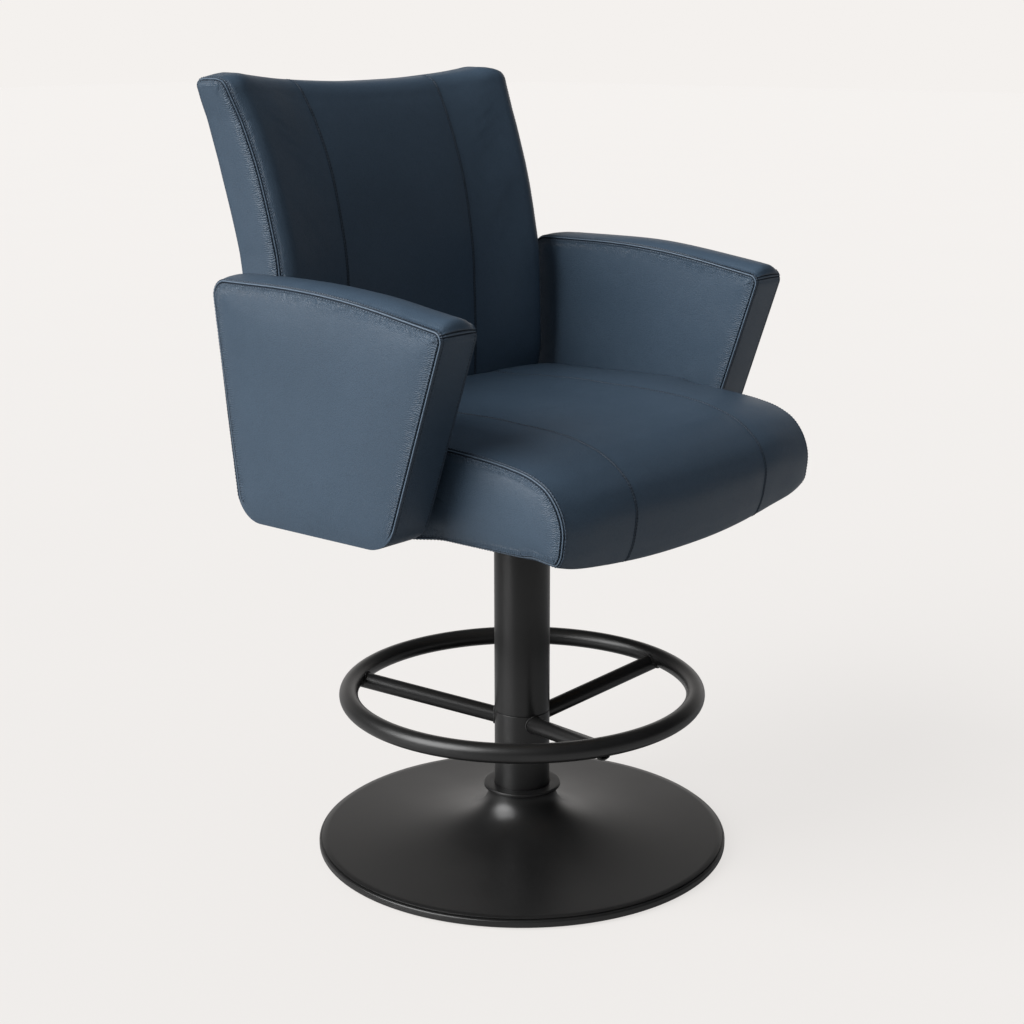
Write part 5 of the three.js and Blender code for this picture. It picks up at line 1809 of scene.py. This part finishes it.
def back_held(p):
    """Where the back's cover can't swell: behind the seat and along its sides."""
    return (p[:, 2] < BACK_HELD_BELOW) | (np.abs(p[:, 0]) > BACK_HALF - BACK_HELD_SIDE)


def build_back():
    pad = back_form()
    kept = narrow_back(pad)
    pad.points = pad.points + swollen(pad, back_held)
    x, y, z = pad.points[..., 0], pad.points[..., 1], pad.points[..., 2]
    shown = smooth_step((z - BACK_UNDER - BACK_TUCK) / BACK_TUCK_FADE)
    panel = np.abs(x) / kept - BACK_SEAM
    lean = BACK_REAR_LEAN * read_shares(REAR_LEAN_SHARES, (z - BACK_UNDER) / BACK_HEIGHT)
    before_rear = BACK_FRONT_LOW + BACK_THICKNESS * REAR_SEAM_SHARE + lean - y
    gather = REAR_GATHER + FRONT_GATHER * smooth_step(before_rear / GATHER_FADE)
    on_front = shown * smooth_step(before_rear / FRONT_FADE) * (np.abs(panel) < PANEL_SEAM_REACH)
    side_seam = Seam(pad.seam_distance, shown, 1.0, STITCH_OFFSET, gather, GATHER_REACH)
    panel_seam = Seam(panel, on_front, PANEL_SEAM_SCALE, PANEL_DENT_OFFSET, PANEL_GATHER, PANEL_GATHER_REACH)
    sew(pad, (side_seam, panel_seam), BACK_SEED)
    return pad, shown, on_front


back_pad, back_shown, back_panel_shown = build_back()
finish_pad("back_cover", back_pad, "back_cushion")
stitch_pad(back_pad, back_shown, BACK_SEAM, back_panel_shown)
print("stitch rows so far:", len(stitch_rows))

# %% [markdown]
# The arms
#
# Each arm is a wedge seen from the side: broad at the top and narrow at the seat. Its faces are sewn to
# one strip that runs over the top and down the front and the rear. A cross seam joins the top panel to the
# front panel at the front corner, and there the top is crowned most.

# %% Arm sizes and outline
ARM_INNER = 0.288
ARM_THICKNESS = 0.060
ARM_TOP = 0.793
ARM_REAR_TOP = 0.1995
ARM_REAR_BOTTOM = 0.159
ARM_REAR_INNER = 0.214
ARM_FRONT_TOP = 0.175
ARM_FRONT_BOTTOM = 0.086
ARM_FRONT_DROP = 0.0315
ARM_PEAK = 0.008
ARM_TOP_BEND = 1.2
ARM_CORNER_REAR = 0.020
ARM_CORNER_FRONT = 0.011
ARM_HEEL = 0.038
ARM_TOE = 0.045
ARM_CROWN_REAR = 0.003
ARM_CROWN_FRONT = 0.013
ARM_CROWN_POWER = 2.5
ARM_REAR_PUFF = 0.004
ARM_FRONT_PUFF = 0.0005
ARM_FACE_PUFF = 0.0072
ARM_FACE_REACH = 0.060
ARM_INNER_PUFF = 0.0025
ARM_FOLD = 0.0042
ARM_SECTION_SPACING = 0.0034
LEAST_ARC_STEPS = 6
CROSS_SEAM = 3


def arm_corners(inner_share):
    """Each corner is (place, height, radius). The inner face's rear is upright and lies further back."""

    def rear(place):
        return place + inner_share * (ARM_REAR_INNER - place)

    return (
        (rear(ARM_REAR_BOTTOM), SEAT_UNDER, ARM_HEEL),
        (rear(ARM_REAR_TOP), ARM_TOP, ARM_CORNER_REAR),
        (ARM_PEAK, ARM_TOP, ARM_TOP_BEND),
        (-ARM_FRONT_TOP, ARM_TOP - ARM_FRONT_DROP, ARM_CORNER_FRONT),
        (-ARM_FRONT_BOTTOM, SEAT_UNDER, ARM_TOE),
    )


def arcs_of(corners):
    """Centre, start angle, sweep and radius of each corner's arc."""
    arcs = []
    for i, (x, y, radius) in enumerate(corners):
        here = Vector((x, y))
        back = (Vector(corners[i - 1][:2]) - here).normalized()
        ahead = (Vector(corners[(i + 1) % len(corners)][:2]) - here).normalized()
        half = back.angle(ahead) / 2
        middle = here + (back + ahead).normalized() * (radius / math.sin(half))
        start = here + back * (radius / math.tan(half)) - middle
        arcs.append((middle, math.atan2(start.y, start.x), math.pi - 2 * half, radius))
    return arcs


def on_arc(arc, share):
    """A place on an arc, from 0 at its start to 1 at its end."""
    middle, start, sweep, radius = arc
    angle = start + sweep * share
    return middle + Vector((math.cos(angle), math.sin(angle))) * radius


def arm_steps():
    """Shares along each arc and each straight after it, finer beside the cross seam."""
    arcs = arcs_of(arm_corners(0.5))
    steps = []
    for i, arc in enumerate(arcs):
        sweep, radius = arc[2:]
        count = max(LEAST_ARC_STEPS, round(radius * sweep / POINT_SPACING))
        along = np.arange(count + 1) / count
        if i == CROSS_SEAM:
            fine = [0.5 + offset / (radius * sweep) for offset in FINE_OFFSETS]
            along = np.array(sorted(set([0.0, 1.0] + [round(f, 5) for f in fine if 0 < f < 1])))
        gap = on_arc(arcs[(i + 1) % len(arcs)], 0.0) - on_arc(arc, 1.0)
        spacing = HIDDEN_SPACING if i == len(arcs) - 1 else POINT_SPACING
        straight = max(2, round(gap.length / spacing))
        steps.append((along, np.arange(1, straight) / straight))
    return steps


def arm_outline(inner_share, steps):
    arcs = arcs_of(arm_corners(inner_share))
    points = []
    for i, (along, straight) in enumerate(steps):
        points += [on_arc(arcs[i], share) for share in along]
        end = points[-1]
        begin = on_arc(arcs[(i + 1) % len(arcs)], 0.0)
        points += [end.lerp(begin, share) for share in straight]
    return np.array([tuple(p) for p in points])


shared_arm_steps = arm_steps()
print("arm outline:", len(arm_outline(0.5, shared_arm_steps)), "points")

# %% The arm's form
ARM_UNDER_MARGIN = 0.006


def arm_form(sign):
    """The arm on the left, for a sign of 1, or on the right, for -1."""
    half = ARM_THICKNESS / 2
    pad = Pad(half, ARM_FOLD, ARM_SECTION_SPACING)
    face = pad.x * sign
    inner_share = np.clip((half - face) / ARM_THICKNESS, 0, 1)
    outlines = np.array([arm_outline(share, shared_arm_steps) for share in inner_share])
    normals = outline_normals(outlines)
    ny, nz = normals[..., 0], normals[..., 1]
    forward = (ARM_REAR_TOP - outlines[..., 0]) / (ARM_REAR_TOP + ARM_FRONT_TOP)
    crown = ARM_CROWN_REAR + np.clip(forward, 0, 1) * (ARM_CROWN_FRONT - ARM_CROWN_REAR)
    end = np.where(ny > 0, ARM_REAR_PUFF, ARM_FRONT_PUFF)
    swell = (1 - (np.abs(pad.x) / half) ** ARM_CROWN_POWER)[:, None]
    puff = swell * (crown * np.maximum(0, nz) ** 2 + end * ny * ny)
    pad.build(outlines, puff, mean_centre, 1.0, ARM_FACE_REACH)
    x = pad.points[..., 0]
    over = np.abs(x) - half
    amount = np.where(np.sign(x) == sign, ARM_FACE_PUFF, ARM_INNER_PUFF)
    x = np.sign(x) * np.where(over > 0, half + over * amount, np.abs(x))
    y, z = pad.points[..., 1], pad.points[..., 2]
    under = (z < SEAT_UNDER + BOARD_NEAR) & (np.abs(x) < half - ARM_UNDER_MARGIN)
    z = np.where(under, np.maximum(z, SEAT_UNDER + BOARD_REVEAL), z)
    pad.points = np.stack([x + sign * (ARM_INNER + half), y, z], axis=2)
    pad.measure()
    return pad


print("arms", ARM_THICKNESS, "m thick, from", ARM_INNER, "m off the middle")

# %% Arm pads
STRIP_FADE = 0.002
ARM_HELD_INNER = 0.006
ARM_HELD_UNDER = 0.03
ARM_TUCK = 0.012
ARM_TUCK_FADE = 0.02
ARM_GATHER = 0.9
CROSS_REACH = 0.02
CROSS_SCALE = 0.7
CROSS_GATHER = 0.1
ARM_SEED = 20


def cross_seam_point(steps):
    """Index of the outline point that lies on the cross seam."""
    before = sum(len(along) + len(straight) for along, straight in steps[:CROSS_SEAM])
    return before + int(np.argmin(np.abs(steps[CROSS_SEAM][0] - 0.5)))


def build_arm(sign):
    pad = arm_form(sign)
    at = cross_seam_point(shared_arm_steps)
    cross = pad.along - pad.along[:, at:at + 1]
    on_strip = smooth_step(pad.seam_distance / STRIP_FADE)
    from_cross = np.where(on_strip > 0.5, np.abs(cross), 1.0)
    pad.sewn_distance = np.minimum(np.abs(pad.seam_distance), from_cross)
    inner_face = sign * (ARM_INNER + ARM_HELD_INNER)

    def arm_held(p):
        return ((p[:, 0] - inner_face) * sign < 0) | (p[:, 2] < SEAT_UNDER + ARM_HELD_UNDER)

    pad.points = pad.points + swollen(pad, arm_held)
    shown = smooth_step((pad.points[..., 2] - SEAT_UNDER - ARM_TUCK) / ARM_TUCK_FADE)
    cross_shown = on_strip * (np.abs(cross) < CROSS_REACH)
    side_seam = Seam(pad.seam_distance, shown, 1.0, STITCH_OFFSET, ARM_GATHER, GATHER_REACH)
    cross_seam = Seam(cross, cross_shown, CROSS_SCALE, 0.0, CROSS_GATHER, PANEL_GATHER_REACH)
    sew(pad, (side_seam, cross_seam), ARM_SEED + sign)
    return pad, shown


for side, label in ((-1, "right"), (1, "left")):
    arm_pad, arm_shown = build_arm(side)
    finish_pad("arm_cover_" + label, arm_pad, "arm_pad_" + label)
    stitch_pad(arm_pad, arm_shown)
print("stitch rows:", len(stitch_rows))

# %% [markdown]
# Topstitching
#
# The stitches are laid by the same kind of tree as the weld beads, along the rows that were kept beside
# the seams. Each is a five-sided sliver with its crown just above the leather. The thread rises a little
# from the dent in the cover.

# %% Stitches
STITCH_LIFT = 0.00008

stitch_tree, stitch_ids = row_tree("topstitch", thread)
lifted = [(points + normals * STITCH_LIFT, normals) for points, normals in stitch_rows]
stitch_sizes = {"Pitch": 0.0042, "Length": 0.0030, "Width": 0.0012, "Height": 0.0010}
stitch_values = {**stitch_sizes, "Uneven": 0.07, "Seed": 5}
stitch_mesh = path_mesh("stitch_paths", lifted, False)
stitches = grow("topstitching", stitch_mesh, stitch_tree, stitch_ids, stitch_values, thread)
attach(stitches, "seat")
print("stitches:", len(stitches.data.polygons) // (BALL_SIDES * BALL_RINGS))

# %% [markdown]
# Floor, light and world
#
# The stool stands on a pale floor in a white studio. One broad sun from behind the sitter's right gives
# the bright gussets and the dark fronts of the photograph, at a level where a colour renders about as
# written. The white comes from what the camera sees and not from more light: towards the camera the floor
# is partly its own pale colour and partly a lit surface, which keeps a faint shadow, and to light that it
# scatters back it is darker, so that little comes from below. The world is pale where the camera or a low
# reflection looks at it. Overhead it stays dim and slightly cool, like a studio's ceiling, and that gives
# the coated steel its dark front.

# %% Floor
FLOOR_HALF = 30.0
FLOOR_PALE = (1.0, 0.970, 0.944, 1.0)
FLOOR_DARK = (0.43, 0.417, 0.406, 1.0)
FLOOR_LIGHT = (0.46, 0.446, 0.434, 1.0)
FLOOR_BOUNCE = (0.22, 0.216, 0.212, 1.0)
FLOOR_SCALE = 1.5
SELF_SHARE = 0.72


def floor_finish():
    material, wire, shader, place = start_finish("pale_floor", Specular_IOR_Level=0.12, Roughness=0.22)
    cloud = noise(place, FLOOR_SCALE, 2.0).between(FLOOR_DARK, FLOOR_LIGHT)
    looks = wire.node("ShaderNodeLightPath").socket.node.outputs
    feed(shader, Base_Color=Wire(wire.tree, looks["Is Diffuse Ray"]).between(cloud, FLOOR_BOUNCE))
    own = wire.node("ShaderNodeEmission", None, {"Color": FLOOR_PALE})
    seen = Wire(wire.tree, looks["Is Camera Ray"]) * SELF_SHARE
    lit = Wire(wire.tree, shader.outputs[0])
    both = wire.node("ShaderNodeMixShader", None, {0: seen, 1: lit, 2: own})
    wire.tree.links.new(both.socket, wire.tree.nodes["Material Output"].inputs["Surface"])
    return material


corners = [(x * FLOOR_HALF, y * FLOOR_HALF, 0) for x, y in ((-1, -1), (1, -1), (1, 1), (-1, 1))]
floor = add_piece("floor", corners, [(0, 1, 2, 3)], floor_finish())
print("floor", 2 * FLOOR_HALF, "m wide")

# %% Lights and world
KEY_FROM = (-0.84, 0.34, 0.62)
KEY_STRENGTH = 4.9
KEY_ANGLE = math.radians(50)
AMBIENT = 0.035
OVERHEAD = 0.66
BACKDROP = 0.95
BACKDROP_EDGE = 2.2
BACKDROP_START = 1.1
BACKDROP_TOP = 0.22
BACKDROP_FADE = 0.3
BEHIND = (0.77, 0.63, 0.0)
PALE = (0.905, 0.878, 0.855, 1.0)
COOL = (0.80, 0.87, 0.95, 1.0)

key_data = bpy.data.lights.new("key", "SUN")
key_data.energy = KEY_STRENGTH
key_data.angle = KEY_ANGLE
key = bpy.data.objects.new("key", key_data)
key.rotation_euler = Vector(KEY_FROM).to_track_quat("Z", "Y").to_euler()
bpy.context.scene.collection.objects.link(key)

world = bpy.data.worlds.new("studio")
world.use_nodes = True
bpy.context.scene.world = world
sky = Wire(world.node_tree)
background = world.node_tree.nodes["Background"]
looks = sky.node("ShaderNodeLightPath").socket.node.outputs
seen = Wire(sky.tree, looks["Is Camera Ray"])
mirrored = (Wire(sky.tree, looks["Is Glossy Ray"]) + Wire(sky.tree, looks["Is Transmission Ray"])).clamped()
direction = sky.node("ShaderNodeTexCoord", None, None, 0)
towards = {0: direction, 1: BEHIND}
facing = direction.node("ShaderNodeVectorMath", {"operation": "DOT_PRODUCT"}, towards, 1)
height = direction.node("ShaderNodeSeparateXYZ", None, {0: direction}, 2)
low = 1.0 - ((height - BACKDROP_TOP) / BACKDROP_FADE).clamped()
backdrop = (facing * BACKDROP_EDGE - BACKDROP_START).clamped() * low * BACKDROP
overhead = height.clamped() * OVERHEAD * (1.0 - mirrored)
strength = seen + (1.0 - seen) * (AMBIENT + overhead + mirrored * backdrop)
sky.tree.links.new(strength.socket, background.inputs["Strength"])
diffuse = (1.0 - seen) * (1.0 - mirrored)
sky.tree.links.new(diffuse.between(PALE, COOL).socket, background.inputs["Color"])
print("key from", KEY_FROM, "and ambient", AMBIENT)
